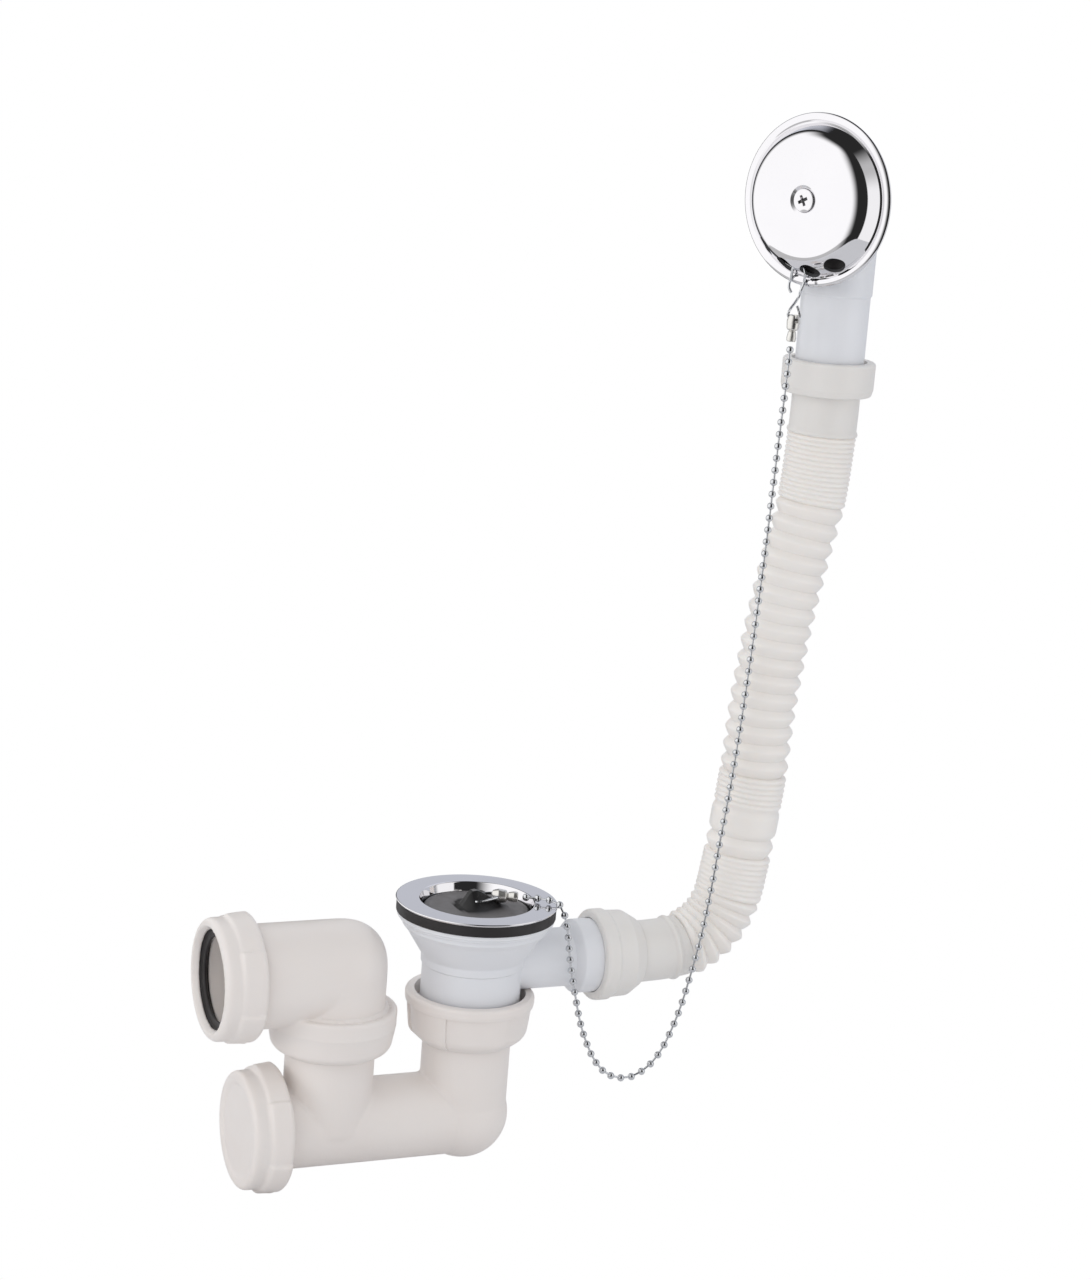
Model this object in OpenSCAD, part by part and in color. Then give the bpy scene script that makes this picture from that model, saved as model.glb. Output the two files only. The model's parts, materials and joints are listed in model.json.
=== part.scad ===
// Bath waste and overflow set: chrome waste with plug, side outlet, bellows overflow hose,
// overflow head with its cover, ball chain, and a shallow trap with cleaning cap and outlet elbow.
// Millimetres. The origin is the middle of the waste, on the seat under its chrome rim.
// +Z is up, +X runs from the waste to the overflow hose, and the trap's outlet looks along -X.

/* [Waste] */
// Radius of the chrome rim
rim_r = 35; // [32:0.5:38]
// Thickness of the chrome sheet
rim_t = 1.2; // [0.8:0.1:2]
// Radius of the dish opening in the rim
dish_r = 24.3; // [22:0.1:26]
// Depth of the dish below the seat
dish_depth = 13.5; // [13:0.5:15]
// Thickness of the black rubber washer
washer_t = 4.5; // [2:0.5:8]
// Radius of the body's collar under the washer
collar_r = 34; // [31:0.5:37]
// Radius of the straight tail below the cone
tail_r = 21.7; // [20:0.1:22.5]
// Bore radius of the tail
tail_bore_r = 18.8; // [16:0.1:19.5]
// Depth of the tail's end below the seat
tail_drop = 54; // [51:1:64]
// Radius of the connecting thread on the tails
thread_r = 23.9; // [23.5:0.1:24.5]

/* [Side outlet] */
// Depth of the side outlet's axis below the seat
side_drop = 27.7; // [26:0.1:30]
// Radius of the side outlet pipe
side_r = 12.9; // [11:0.1:13.5]
// Bore radius of the side outlet pipe
side_bore_r = 10.6; // [8:0.1:11]
// Radius of the side outlet's threaded end
side_thread_r = 16.2; // [15:0.1:17]
// Distance from the waste axis to the side outlet's end
side_reach = 66; // [60:1:80]

/* [Plug] */
// Radius of the plug at its top
plug_r = 23.2; // [21:0.1:23.6]
// Thickness of the plug
plug_t = 6; // [4:0.5:8]
// Height of the moulded lug on the plug
lug_h = 7.6; // [7:0.1:10]
// Thickness of the lug's fin
lug_t = 5; // [4:0.5:7]
// Diameter of the wire ring through the lug
ring_d = 1.2; // [0.8:0.1:1.6]

/* [Trap] */
// Radius of the trap's upright legs
leg_r = 19.2; // [18.2:0.1:19.6]
// Radius of the level tube
tube_r = 18.2; // [16:0.1:19]
// Wall of the trap's tubes
tube_wall = 2.2; // [1.6:0.1:3]
// Distance between the two upright legs
trap_span = 63; // [56:1:90]
// Depth of the level tube's axis below the tail's end
trap_drop = 41.6; // [40:0.1:70]
// Distance from the waste axis to the face of the cleaning cap
cap_reach = 103; // [98:1:140]
// Radius of the cap at its face
cap_r = 25.2; // [24.9:0.1:27]
// Length of the cleaning cap
cap_len = 17.4; // [15:0.1:22]

/* [Nuts] */
// Radius over the rim of the inlet nut
nut_rim_r = 28.1; // [27.4:0.1:30]
// Length of the inlet nut
nut_len = 21.6; // [18:0.1:26]
// Thickness of the nuts' inner lips
nut_lip = 2.6; // [2:0.1:4]
// Radial step of the grips round the nuts
grip_step = 1.1; // [0.4:0.1:1.6]
// Number of grips round a nut
grips = 6; // [4:1:12]
// Thickness of the flat seals
seal_t = 2.2; // [1.5:0.1:3]
// Clearance between pieces that screw or slide together
fit_gap = 0.3; // [0.2:0.05:0.5]

/* [Outlet] */
// Radius of the outlet socket
socket_r = 22.2; // [22:0.1:23]
// Bore radius of the outlet socket, for a 40 mm pipe
socket_bore_r = 20.2; // [20:0.05:20.6]
// Depth of the outlet socket
socket_depth = 25; // [18:1:30]
// Height of the outlet's axis above the elbow's tail end
elbow_rise = 26.9; // [26.5:0.1:40]
// Distance from the elbow's upright leg to the outlet nut's face
outlet_reach = 56.4; // [52:0.1:80]
// Length of the outlet nut
outlet_nut_len = 18.4; // [16:0.1:22]
// Radius of the outlet nut at its face
outlet_nut_r = 25.9; // [25.6:0.1:27]

/* [Overflow] */
// Height of the overflow cover's middle above the seat
cover_h = 306.6; // [280:0.1:340]
// Distance from the waste axis to the overflow pipe's axis
pipe_reach = 147; // [135:1:170]
// Turn of the overflow head towards the front
head_turn = 28; // [0:1:45]
// Distance from the cover's rim plane back to the pipe's axis
pipe_back = 22; // [20:0.5:26]
// Radius of the cover's rim
cover_r = 36.6; // [34:0.1:40]
// Radius of the raised dome where it meets the rim
dome_r = 32; // [29:0.1:33]
// Height of the dome
dome_h = 11.2; // [9:0.1:14]
// Thickness of the cover's sheet
sheet_t = 0.8; // [0.6:0.1:1.2]
// Radius of the overflow holes in the dome's side
hole_r = 4.6; // [2.5:0.1:4.8]
// Number of overflow holes
hole_count = 4; // [2:1:5]
// Turn of the cover about its own axis
cover_turn = -6.5; // [-30:0.5:30]
// Radius of the overflow pipe
pipe_r = 15; // [14:0.1:15.6]
// Bore radius of the overflow pipe
pipe_bore_r = 12.4; // [10:0.1:12.8]
// Height of the overflow pipe's lower end above the seat
pipe_end = 229; // [220:1:240]
// Radius of the overflow nut
hose_nut_r = 20.1; // [19.6:0.1:22]
// Length of the overflow nut
top_nut_len = 14.7; // [13:0.1:20]
// Length of the hose nut at the side outlet
side_nut_len = 21.2; // [18:0.1:26]

/* [Hose] */
// Radius over the hose's folds
fold_r = 15; // [14.2:0.1:16]
// Radius in the valleys of the open folds
valley_r = 12.6; // [12:0.1:13.4]
// Radius of the hose's smooth lower cuff
cuff_low_r = 13.6; // [13.2:0.1:14.2]
// Radius of the hose's smooth upper cuff
cuff_top_r = 14.8; // [14:0.1:15]
// Bore radius of the hose
hose_bore_r = 11.2; // [10:0.1:11.4]
// Number of facets round the hose
hose_sides = 24; // [16:4:32]

/* [Chain] */
// Diameter of the chain's balls
ball_d = 3.2; // [2.4:0.1:3.6]
// Diameter of the wire between the balls
link_d = 0.9; // [0.6:0.1:1.4]
// Distance from ball to ball
ball_pitch = 5.2; // [4.4:0.1:6]
// Diameter of the hook's wire
hook_d = 1.2; // [1:0.1:1.4]

/* [Hidden] */

$fn = 96;
through = 1;
slim = 0.1;

WHITE = [0.87, 0.86, 0.84];
BODY_WHITE = [0.85, 0.86, 0.88];
CHROME = [0.78, 0.77, 0.8];
RUBBER = [0.16, 0.15, 0.16];
BRASS = [0.75, 0.62, 0.35];

// Levels of the waste, all measured from the seat at zero
body_top = -washer_t;
cone_end = body_top - 19;
tail_end = -tail_drop;
chamber_r = dish_r + rim_t + 0.5;
chamber_floor = -dish_depth - 2;
insert_r = 4.5;
insert_h = 9;
hub_r = insert_r + 2.3;
rib_t = 2.6;
screw_r = 3;

// Levels of the trap
leg_collar_t = 2.4;
leg_collar_r = leg_r + 3;
leg_top = tail_end - seal_t;
inlet_nut_low = leg_top - leg_collar_t - fit_gap - nut_lip;
tube_z = tail_end - trap_drop;
leg_bore_r = leg_r - tube_wall;
tube_bore_r = tube_r - tube_wall;
corner_r = leg_r + 1;
cap_boss_r = 24.3;
cap_boss_len = 10;
cap_face_t = 3;
cap_wall_end = -cap_reach + cap_face_t;
boss_end = cap_wall_end + 2;

// Levels of the elbow
elbow_z = tail_end + elbow_rise;
elbow_leg_r = 20;
elbow_bore_r = 17.2;
shoulder_r = 27.6;
shoulder_top = tail_end + 12.4;
shoulder_low = shoulder_top - 8.2;
outlet_lip = 3.4;
outlet_seal_t = 3.6;
socket_thread = 1.6;
socket_end = -trap_span - outlet_reach + outlet_lip + outlet_seal_t;

// The side outlet and the hose's lower end
side_nut_face = side_reach - 10.2;
side_seal_t = 2;
hose_start = side_reach + side_seal_t;
hose_flange_t = 2.4;

// The hose's upper end
hose_finish = pipe_end - side_seal_t;
top_nut_low = hose_finish - hose_flange_t - fit_gap - 1.3;

// The head's own axis points out of the cover, at the pipe's height
gasket_t = 3;
wall_plate_t = 4;
wall_plate_r = 31;
face_r = dome_r - 5;
recess_r = 6.4;
recess_t = 1.4;
wall_lean = atan2(dome_r - face_r, dome_h - 1.6 - sheet_t);
hole_mid_r = (dome_r + face_r) / 2 + 0.3;
hole_mid_h = dome_h * 0.46;
hole_pitch = 24.5;
function hole_turn(i) = (i - (hole_count - 1) / 2) * hole_pitch + cover_turn;

// Middle line of the overflow hose as [x, z], from the side outlet up to the overflow pipe. Its
// lower points go with the side outlet and its upper ones with the pipe
HOSE_ROUTE = [
    [hose_start, -side_drop], [hose_start + 6, -side_drop], [hose_start + 12, -side_drop],
    [hose_start + 25, -side_drop + 0.7], [hose_start + 36, -side_drop + 3.2],
    [hose_start + 46.5, -17], [pipe_reach - 26, -5.5], [pipe_reach - 23, 10],
    [pipe_reach - 20.5, 30], [pipe_reach - 18, 55], [pipe_reach - 16.5, 85],
    [pipe_reach - 13.5, hose_finish - 107], [pipe_reach - 9.5, hose_finish - 77],
    [pipe_reach - 5.5, hose_finish - 52], [pipe_reach - 3, hose_finish - 31],
    [pipe_reach - 1, hose_finish - 16], [pipe_reach, hose_finish - 8],
    [pipe_reach, hose_finish - 4], [pipe_reach, hose_finish]];
// Groups of folds from the lower cuff upward, as [pitch, number of folds, depth of a fold]
FOLD_GROUPS = [
    [5.4, 6, 2.4], [2.4, 8, 0.8], [8.5, 1, 2.4], [14, 1, 2.2], [2.4, 8, 0.8],
    [7.5, 15, 2.4], [2.2, 15, 0.8]];
fold_start = 33;

// Middle line of the ball chain, from the coupling at the hook down its loop and up to the plug
CHAIN_ROUTE = [
    [120.8, -11.5, 247], [120.4, -11.8, 232], [119, -12.2, 200], [117.4, -13, 160],
    [115, -14, 118], [112.4, -15, 82], [109.4, -16, 50], [106.4, -16.6, 25],
    [104, -17.2, 4], [101, -17.5, -17], [97, -17.5, -37], [93, -17.5, -52.5],
    [87.5, -17, -67], [81, -17, -75.5], [72, -17, -80], [62, -17, -78], [54.7, -17, -71],
    [49.5, -17, -61.5], [45.8, -17, -52], [42.5, -17, -40], [39, -17.2, -26],
    [36.4, -17.5, -12], [34.8, -17.5, -5], [33.2, -17, -0.5], [31, -15, 2.9],
    [27.5, -11.5, 3.1], [22.5, -8, 3.1], [16.5, -5, 2.8]];

function unit(v) = v / norm(v);
function total(v, i = 0) = i >= len(v) ? 0 : v[i] + total(v, i + 1);

// Points of an outline given as [x, y, corner radius], with each corner rounded in its own arc
function corner(a, p, b, radius, n) =
    let (to_a = [a.x - p.x, a.y - p.y], to_b = [b.x - p.x, b.y - p.y],
         u = unit(to_a), v = unit(to_b), w = unit(u + v),
         half = acos(max(-1, min(1, u * v))) / 2,
         r = min(radius, 0.48 * min(norm(to_a), norm(to_b)) * tan(half)),
         c = [p.x, p.y] + w * r / sin(half),
         s = [p.x, p.y] + u * r / tan(half) - c, e = [p.x, p.y] + v * r / tan(half) - c,
         a0 = atan2(s.y, s.x), turn = (atan2(e.y, e.x) - a0 + 900) % 360 - 180)
    [for (k = [0 : n]) c + r * [cos(a0 + turn * k / n), sin(a0 + turn * k / n)]];
function rounded(pts, n = 6) =
    [for (i = [0 : len(pts) - 1])
        let (p = pts[i], a = pts[(i + len(pts) - 1) % len(pts)], b = pts[(i + 1) % len(pts)])
        each (p[2] > 0 ? corner(a, p, b, p[2], n) : [[p.x, p.y]])];

// Points along a smooth curve through the given points, and a table of [distance, value] for lookup
function curve_point(p, i, t) =
    let (a = p[max(i - 1, 0)], b = p[i], c = p[i + 1], d = p[min(i + 2, len(p) - 1)])
    0.5 * ((2 * b) + (c - a) * t + (2 * a - 5 * b + 4 * c - d) * t * t
           + (3 * b - a - 3 * c + d) * t * t * t);
function curve(p, steps = 12) =
    [for (i = [0 : len(p) - 2], k = [0 : steps - 1]) curve_point(p, i, k / steps), p[len(p) - 1]];
function distances(p) =
    [for (i = 0, s = 0; i < len(p);
          s = s + (i + 1 < len(p) ? norm(p[i + 1] - p[i]) : 0), i = i + 1) s];
function table(p, d, axis) = [for (i = [0 : len(p) - 1]) [d[i], p[i][axis]]];

hose_line = curve(HOSE_ROUTE);
hose_dist = distances(hose_line);
hose_len = hose_dist[len(hose_dist) - 1];
hose_x = table(hose_line, hose_dist, 0);
hose_z = table(hose_line, hose_dist, 1);

chain_line = curve(CHAIN_ROUTE);
chain_dist = distances(chain_line);
chain_len = chain_dist[len(chain_dist) - 1];
chain_axes = [for (axis = [0 : 2]) table(chain_line, chain_dist, axis)];
function on_chain(s) = [for (axis = [0 : 2]) lookup(s, chain_axes[axis])];

// Frames: the side outlet along +X, the trap's level tube along -X, and the turned overflow head
module along_x(x, z) { translate([x, 0, z]) rotate([0, 90, 0]) children(); }
module along_minus_x(x, z) { translate([x, 0, z]) rotate([0, -90, 0]) children(); }
head_out = [-cos(head_turn), -sin(head_turn), 0];
head_centre = [pipe_reach, 0, cover_h] + head_out * pipe_back;
module head() { translate(head_centre) rotate([0, -90, head_turn]) children(); }
head_right = [sin(head_turn), -cos(head_turn), 0];

// Points near the cover: below its rim, and on the sloping wall round its holes, where a turn
// is counted from straight down
function rim_point(right, drop, out) =
    head_centre + right * head_right - [0, 0, cover_r + drop] + out * head_out;
function wall_point(turn, across, down, out) =
    let (r = hole_mid_r + down * sin(wall_lean) + out * cos(wall_lean),
         h = hole_mid_h - down * cos(wall_lean) + out * sin(wall_lean))
    head_centre + (r * sin(turn) + across * cos(turn)) * head_right
        + [0, 0, across * sin(turn) - r * cos(turn)] + h * head_out;
function eye_point(right, up) = hook_pin + [0.9 * right, -0.4 * right, up];

module ring(r, bore_r, h) {
    difference() {
        cylinder(r = r, h = h);
        translate([0, 0, -through]) cylinder(r = bore_r, h = h + 2 * through);
    }
}

// Ramped grips: each sector is cut from the same shape set off centre, so that it rises by a step,
// and laps a little over the start of the next
module gripped(step, count) {
    sector = 360 / count;
    lap = 1;
    far = 80;
    for (i = [0 : count - 1])
        rotate(i * sector)
            intersection() {
                translate([step * cos(90 + sector / 2), step * sin(90 + sector / 2), 0]) children();
                linear_extrude(far)
                    polygon([[0, 0], [far, 0], 1.2 * far * [cos(sector / 2), sin(sector / 2)],
                             far * [cos(sector + lap), sin(sector + lap)]]);
            }
}

// Places children on the line from one point to another, with their z axis along it
module along(from, to) {
    leg = to - from;
    translate(from) rotate([0, acos(leg.z / norm(leg)), atan2(leg.y, leg.x)]) children();
}

// Round wire bent along a line of points, as one skin of facets with closed ends or as a loop
module wire(line, d, loop = false, sides = 10) {
    n = len(line);
    last = n - 1;
    points = [for (i = [0 : last])
        let (ahead = line[loop ? (i + 1) % n : min(i + 1, last)],
             behind = line[loop ? (i + last) % n : max(i - 1, 0)],
             way = unit(ahead - behind), side = unit(cross(way, [0.28, 0.94, 0.2])),
             up = cross(way, side))
        each [for (k = [0 : sides - 1])
            line[i] + d / 2 * (cos(k * 360 / sides) * side + sin(k * 360 / sides) * up)]];
    skin = [for (i = [0 : loop ? last : last - 1], k = [0 : sides - 1])
        let (j = (i + 1) % n, l = (k + 1) % sides)
        [i * sides + k, j * sides + k, j * sides + l, i * sides + l]];
    ends = loop ? [] : [[for (k = [0 : sides - 1]) k],
                        [for (k = [sides - 1 : -1 : 0]) last * sides + k]];
    polyhedron(points, concat(skin, ends));
}

// Waste

module waste_flange() {
    dish_low_r = dish_r - 2.6;
    floor_t = 1.6;
    slots = 6;
    slot_r = 4;
    color(CHROME)
        difference() {
            rotate_extrude()
                polygon(rounded([
                    [0, -dish_depth, 0], [dish_low_r + rim_t, -dish_depth, 2],
                    [dish_r + rim_t, -1.5, 1], [dish_r + rim_t + 0.8, 0, 0.5], [rim_r, 0, 0.4],
                    [rim_r, rim_t, 0.6], [dish_r, rim_t, 1.1],
                    [dish_low_r, -dish_depth + floor_t, 2], [0, -dish_depth + floor_t, 0]]));
            translate([0, 0, -dish_depth - through])
                cylinder(r = screw_r + fit_gap, h = floor_t + 2 * through);
            for (i = [0 : slots - 1])
                rotate(i * 360 / slots)
                    translate([dish_low_r * 0.58, 0, -dish_depth - through])
                        cylinder(r = slot_r, h = floor_t + 2 * through);
        }
}

module waste_washer() {
    color(RUBBER)
        translate([0, 0, body_top])
            ring(rim_r - 0.5, chamber_r, washer_t - slim);
}

module waste_body() {
    lead = 1.4;
    thread_len = 8;
    side_thread_len = 22;
    color(BODY_WHITE) {
        difference() {
            union() {
                rotate_extrude()
                    polygon(rounded([
                        [0, tail_end, 0], [thread_r - lead, tail_end, 0], [thread_r, tail_end + lead, 0],
                        [thread_r, tail_end + thread_len, 0], [tail_r, tail_end + thread_len + lead, 0],
                        [tail_r, cone_end - 4, 0], [tail_r + 0.7, cone_end - 3.4, 0.3],
                        [tail_r + 0.7, cone_end, 2], [collar_r - 4.6, body_top - 8, 3],
                        [collar_r - 2.4, body_top - 5.4, 0.6], [collar_r - 2.4, body_top - 3.6, 0.3],
                        [collar_r - 1, body_top - 3.2, 0.4], [collar_r - 1, body_top - 2.3, 0.2],
                        [collar_r, body_top - 1.9, 0.4], [collar_r, body_top, 0.4], [0, body_top, 0]]));
                along_x(0, -side_drop)
                    rotate_extrude()
                        polygon(rounded([
                            [0, 0, 0], [side_r, 0, 0], [side_r, side_reach - side_thread_len, 0],
                            [side_thread_r, side_reach - side_thread_len + 3.2, 1.2],
                            [side_thread_r, side_reach - lead, 0],
                            [side_thread_r - lead, side_reach, 0], [0, side_reach, 0]]));
            }
            translate([0, 0, chamber_floor]) cylinder(r = chamber_r, h = -chamber_floor + through);
            translate([0, 0, tail_end - through])
                cylinder(r = tail_bore_r, h = chamber_floor - tail_end + 2 * through);
            along_x(0, -side_drop) cylinder(r = side_bore_r, h = side_reach + through);
        }
        waste_bridge();
    }
}

// Three ribs that carry the hub for the waste screw
module waste_bridge() {
    hub_h = insert_h + 2;
    difference() {
        translate([0, 0, chamber_floor - hub_h]) {
            cylinder(r = hub_r, h = hub_h);
            for (i = [0 : 2])
                rotate(180 + i * 120)
                    translate([hub_r - 1, -rib_t / 2, 2])
                        cube([tail_bore_r - hub_r + 1.6, rib_t, hub_h - 3.2]);
        }
        translate([0, 0, chamber_floor - insert_h]) cylinder(r = insert_r, h = insert_h + through);
        translate([0, 0, chamber_floor - hub_h - through])
            cylinder(r = screw_r + fit_gap, h = hub_h + 2 * through);
    }
}

module waste_insert() {
    color(BRASS)
        translate([0, 0, chamber_floor - insert_h])
            ring(insert_r - slim, screw_r + slim / 2, insert_h);
}

module waste_screw() {
    head_r = 5.5;
    head_t = 2.4;
    floor_top = -dish_depth + 1.6;
    color(CHROME)
        difference() {
            union() {
                translate([0, 0, floor_top + slim / 2])
                    rotate_extrude()
                        polygon(rounded([[0, 0, 0], [head_r, 0, 0.4], [head_r, head_t * 0.5, 0.6],
                                         [head_r * 0.6, head_t, 1], [0, head_t, 0]]));
                translate([0, 0, chamber_floor - insert_h]) cylinder(r = screw_r, h = insert_h + 6);
            }
            for (turn = [0, 90])
                rotate(turn) translate([-3, -0.6, floor_top + head_t - 1.4]) cube([6, 1.2, 3]);
        }
}

// Plug with its moulded lug, and the ring and coupling that tie it to the chain

plug_top = -2.4;
lug_middle = [2, -0.5];
lug_hole = [lug_middle.x - 5, lug_middle.y, plug_top + 3.7];

module plug() {
    foot_r = 12;
    foot_h = 3.4;
    color(RUBBER)
        difference() {
            union() {
                translate([0, 0, plug_top - plug_t])
                    rotate_extrude()
                        polygon(rounded([[0, 0, 0], [plug_r - 1.9, 0, 0.8], [plug_r, plug_t, 1],
                                         [plug_r - 3, plug_t + 0.3, 1], [0, plug_t + 0.3, 0]]));
                translate([lug_middle.x, lug_middle.y, plug_top]) {
                    rotate_extrude()
                        polygon(rounded([[0, 0, 0], [foot_r, 0, 0], [foot_r * 0.55, foot_h * 0.4, 6],
                                         [lug_t / 2, foot_h, 0.5], [0, foot_h, 0]]));
                    rotate([90, 0, 0])
                        linear_extrude(lug_t, center = true)
                            polygon(rounded([[-10.5, 0, 0], [-5.6, lug_h, 2.2], [-2.6, lug_h, 3],
                                             [10.8, 0, 0]]));
                }
            }
            translate(lug_hole) rotate([90, 0, 0]) cylinder(d = ring_d + 1.4, h = 30, center = true);
        }
}

coupling_pin = [8.4, -0.9, 2.6];
plug_coupling_end = CHAIN_ROUTE[len(CHAIN_ROUTE) - 1];

// Wire ring bent to a triangle: one corner lies in the lug's hole, one side takes the coupling
module plug_ring() {
    reach = lug_t / 2 + 1.6;
    pin_half = 2.4;
    line = curve([
        lug_hole + [0, -1, 0], lug_hole + [0.6, -reach, 0.2], lug_hole + [3, -reach - 0.6, 0.5],
        [coupling_pin.x - 1.5, coupling_pin.y - pin_half - 1, coupling_pin.z],
        [coupling_pin.x, coupling_pin.y - pin_half + 0.6, coupling_pin.z],
        [coupling_pin.x, coupling_pin.y + pin_half, coupling_pin.z],
        [coupling_pin.x - 1.5, coupling_pin.y + pin_half + 1.4, coupling_pin.z],
        lug_hole + [3, reach + 0.6, 0.5], lug_hole + [0.6, reach, 0.2], lug_hole + [0, 1, 0]], 4);
    color(CHROME) wire(line, ring_d, loop = true);
}

module plug_coupling() { color(CHROME) coupling(coupling_pin, plug_coupling_end, 3.1, 2.4); }

// Coupling made of two bells: the first hangs on a wire, the second holds the chain's end ball
module coupling(from, to, first_r, second_r) {
    reach = norm(to - from);
    slit = 1.6;
    half = reach * 0.56;
    color(CHROME)
        along(from, to)
            difference() {
                rotate_extrude($fn = 48)
                    polygon(rounded([
                        [0, -1.9, 0], [first_r * 0.75, -1.6, 1], [first_r, 1.2, 1.6],
                        [first_r * 0.86, half - 0.6, 1], [second_r * 0.55, half, 0.3],
                        [second_r * 0.8, half + 0.4, 0.4], [second_r, reach - 1.2, 1],
                        [second_r * 0.9, reach + 0.4, 0.5], [0, reach + 0.4, 0]]));
                translate([-slit / 2, -first_r - 1, -3]) cube([slit, 2 * first_r + 2, 4.6]);
                translate([0, 0, reach - 1.6]) cylinder(r = second_r * 0.72, h = 4, $fn = 48);
            }
}

// Balls of the chain, joined by short straight wires whose ends lie inside them
module ball_chain() {
    count = floor((chain_len - ball_d) / ball_pitch);
    first = (chain_len - count * ball_pitch) / 2;
    balls = [for (i = [0 : count]) on_chain(first + i * ball_pitch)];
    color(CHROME) {
        for (p = balls) translate(p) sphere(d = ball_d, $fn = 20);
        for (i = [0 : count - 1]) {
            way = unit(balls[i + 1] - balls[i]);
            along(balls[i] + way * ball_d / 4, balls[i + 1] - way * ball_d / 4)
                cylinder(d = link_d, h = norm(balls[i + 1] - balls[i]) - ball_d / 2, $fn = 16);
        }
    }
}

hook_pin = CHAIN_ROUTE[0] + [0.4, 0, 9.4];

module hook_coupling() { color(CHROME) coupling(hook_pin, CHAIN_ROUTE[0], 2.9, 2.1); }

// Wire hook: an eye through the coupling, a shank up over the cover's rim, and a bend that goes
// in at one overflow hole and out at the next, round the bridge of sheet between them
module chain_hook() {
    low = 2.2;
    high = 5;
    hook_turn = hole_turn(2);
    next_turn = hole_turn(1);
    side = hole_r - 1.3;
    behind = -sheet_t - hook_d / 2 - 0.4;
    front = sheet_t + hook_d / 2 + 0.2;
    line = curve([
        eye_point(0.9, high + 0.5), eye_point(2.2, high * 0.5), eye_point(2.3, 1),
        eye_point(1.3, -0.2), eye_point(-1.3, -0.2), eye_point(-2.6, low * 0.6),
        eye_point(-2.2, high * 0.7), rim_point(-3.9, 5.4, front), rim_point(-2.8, 1.8, front),
        rim_point(-1.8, -0.8, front), rim_point(-1.3, -2.6, front + 0.3),
        wall_point(hook_turn, -side, 1.9, 0), wall_point(hook_turn - 8, 0, 0.4, behind),
        wall_point((hook_turn + next_turn) / 2, 0, 0, behind),
        wall_point(next_turn + 8, 0, 0.4, behind), wall_point(next_turn, side, 1.9, 0),
        rim_point(-8, -3, front + 0.5), rim_point(-9, -0.4, front), rim_point(-8.8, 1.6, front),
        rim_point(-7.6, 3.4, front)], 4);
    color(CHROME) wire(line, hook_d);
}

// Trap

module inlet_nut() {
    rim_len = 5;
    grip_r = nut_rim_r - 1.2;
    grip_len = nut_len - rim_len + 1;
    color(WHITE)
        translate([0, 0, inlet_nut_low])
            difference() {
                union() {
                    rotate(-15) gripped(grip_step, grips) tail_nut_shape(grip_r, grip_len);
                    tail_nut_shape(grip_r - grip_step * 0.7, grip_len);
                    translate([0, 0, nut_len - rim_len])
                        rotate_extrude()
                            polygon(rounded([[0, 0, 0], [nut_rim_r - 0.3, 0, 0.3], [nut_rim_r, 1.6, 1],
                                             [nut_rim_r, rim_len, 2], [0, rim_len, 0]]));
                }
                nut_bore(nut_len);
            }
}

// Outside of a tail nut: a rounded cup that narrows towards the leg
module tail_nut_shape(top_r, length) {
    rotate_extrude()
        polygon(rounded([[0, 0, 0], [top_r - 5.7, 0, 0.8], [top_r - 1.6, length * 0.2, 6],
                         [top_r, length, 0], [0, length, 0]]));
}

// Bore of a tail nut: a lip round the leg, room for the leg's collar, and the bore over the thread
module nut_bore(length) {
    collar_room = leg_collar_t + seal_t;
    translate([0, 0, -through]) cylinder(r = leg_r + fit_gap, h = nut_lip + 2 * through);
    translate([0, 0, nut_lip]) cylinder(r = leg_collar_r + fit_gap, h = collar_room + through);
    translate([0, 0, nut_lip + collar_room]) cylinder(r = thread_r + fit_gap, h = length);
}

module inlet_seal() {
    color(RUBBER)
        translate([0, 0, leg_top + slim / 2]) ring(leg_collar_r, leg_bore_r + 1, seal_t - slim);
}

module trap_body() {
    color(WHITE)
        difference() {
            union() {
                trap_leg(0);
                trap_leg(-trap_span);
                translate([0, 0, tube_z]) sphere(r = corner_r);
                along_minus_x(0, tube_z) cylinder(r = tube_r, h = -boss_end);
                along_minus_x(boss_end + cap_boss_len, tube_z) {
                    cylinder(r = cap_boss_r, h = cap_boss_len);
                    translate([0, 0, -4.4]) cylinder(r1 = tube_r - slim, r2 = cap_boss_r, h = 4.4);
                }
            }
            for (x = [0, -trap_span])
                translate([x, 0, tube_z])
                    cylinder(r = leg_bore_r, h = leg_top - tube_z + through);
            translate([0, 0, tube_z]) sphere(r = leg_bore_r + 0.3);
            along_minus_x(0, tube_z) cylinder(r = tube_bore_r, h = -boss_end + through);
        }
}

// Upright leg with the collar that its nut pulls on
module trap_leg(x) {
    translate([x, 0, 0]) {
        translate([0, 0, tube_z]) cylinder(r = leg_r, h = leg_top - tube_z);
        translate([0, 0, leg_top - leg_collar_t]) cylinder(r = leg_collar_r, h = leg_collar_t);
    }
}

module cleaning_cap() {
    collar = cap_r + 2.5;
    bore = cap_boss_r + fit_gap;
    color(WHITE)
        along_minus_x(-cap_reach + cap_len, tube_z)
            difference() {
                union() {
                    rotate(14)
                        gripped(grip_step, grips)
                            rotate_extrude()
                                polygon(rounded([
                                    [0, 0, 0], [collar - 1.6, 0, 0.8], [collar, 1.8, 1.4],
                                    [collar - 0.7, 9.6, 1.2], [cap_r - 1, 10.8, 0.5], [0, 10.8, 0]]));
                    rotate_extrude()
                        polygon(rounded([
                            [0, 0, 0], [cap_r + 0.4, 0, 0], [cap_r, cap_len, 3.4],
                            [cap_r - 4.6, cap_len, 0.8], [cap_r - 5.6, cap_len - 0.9, 0.8],
                            [0, cap_len - 0.9, 0]]));
                }
                translate([0, 0, -through]) cylinder(r = bore, h = cap_len - cap_face_t + through);
            }
}

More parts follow.
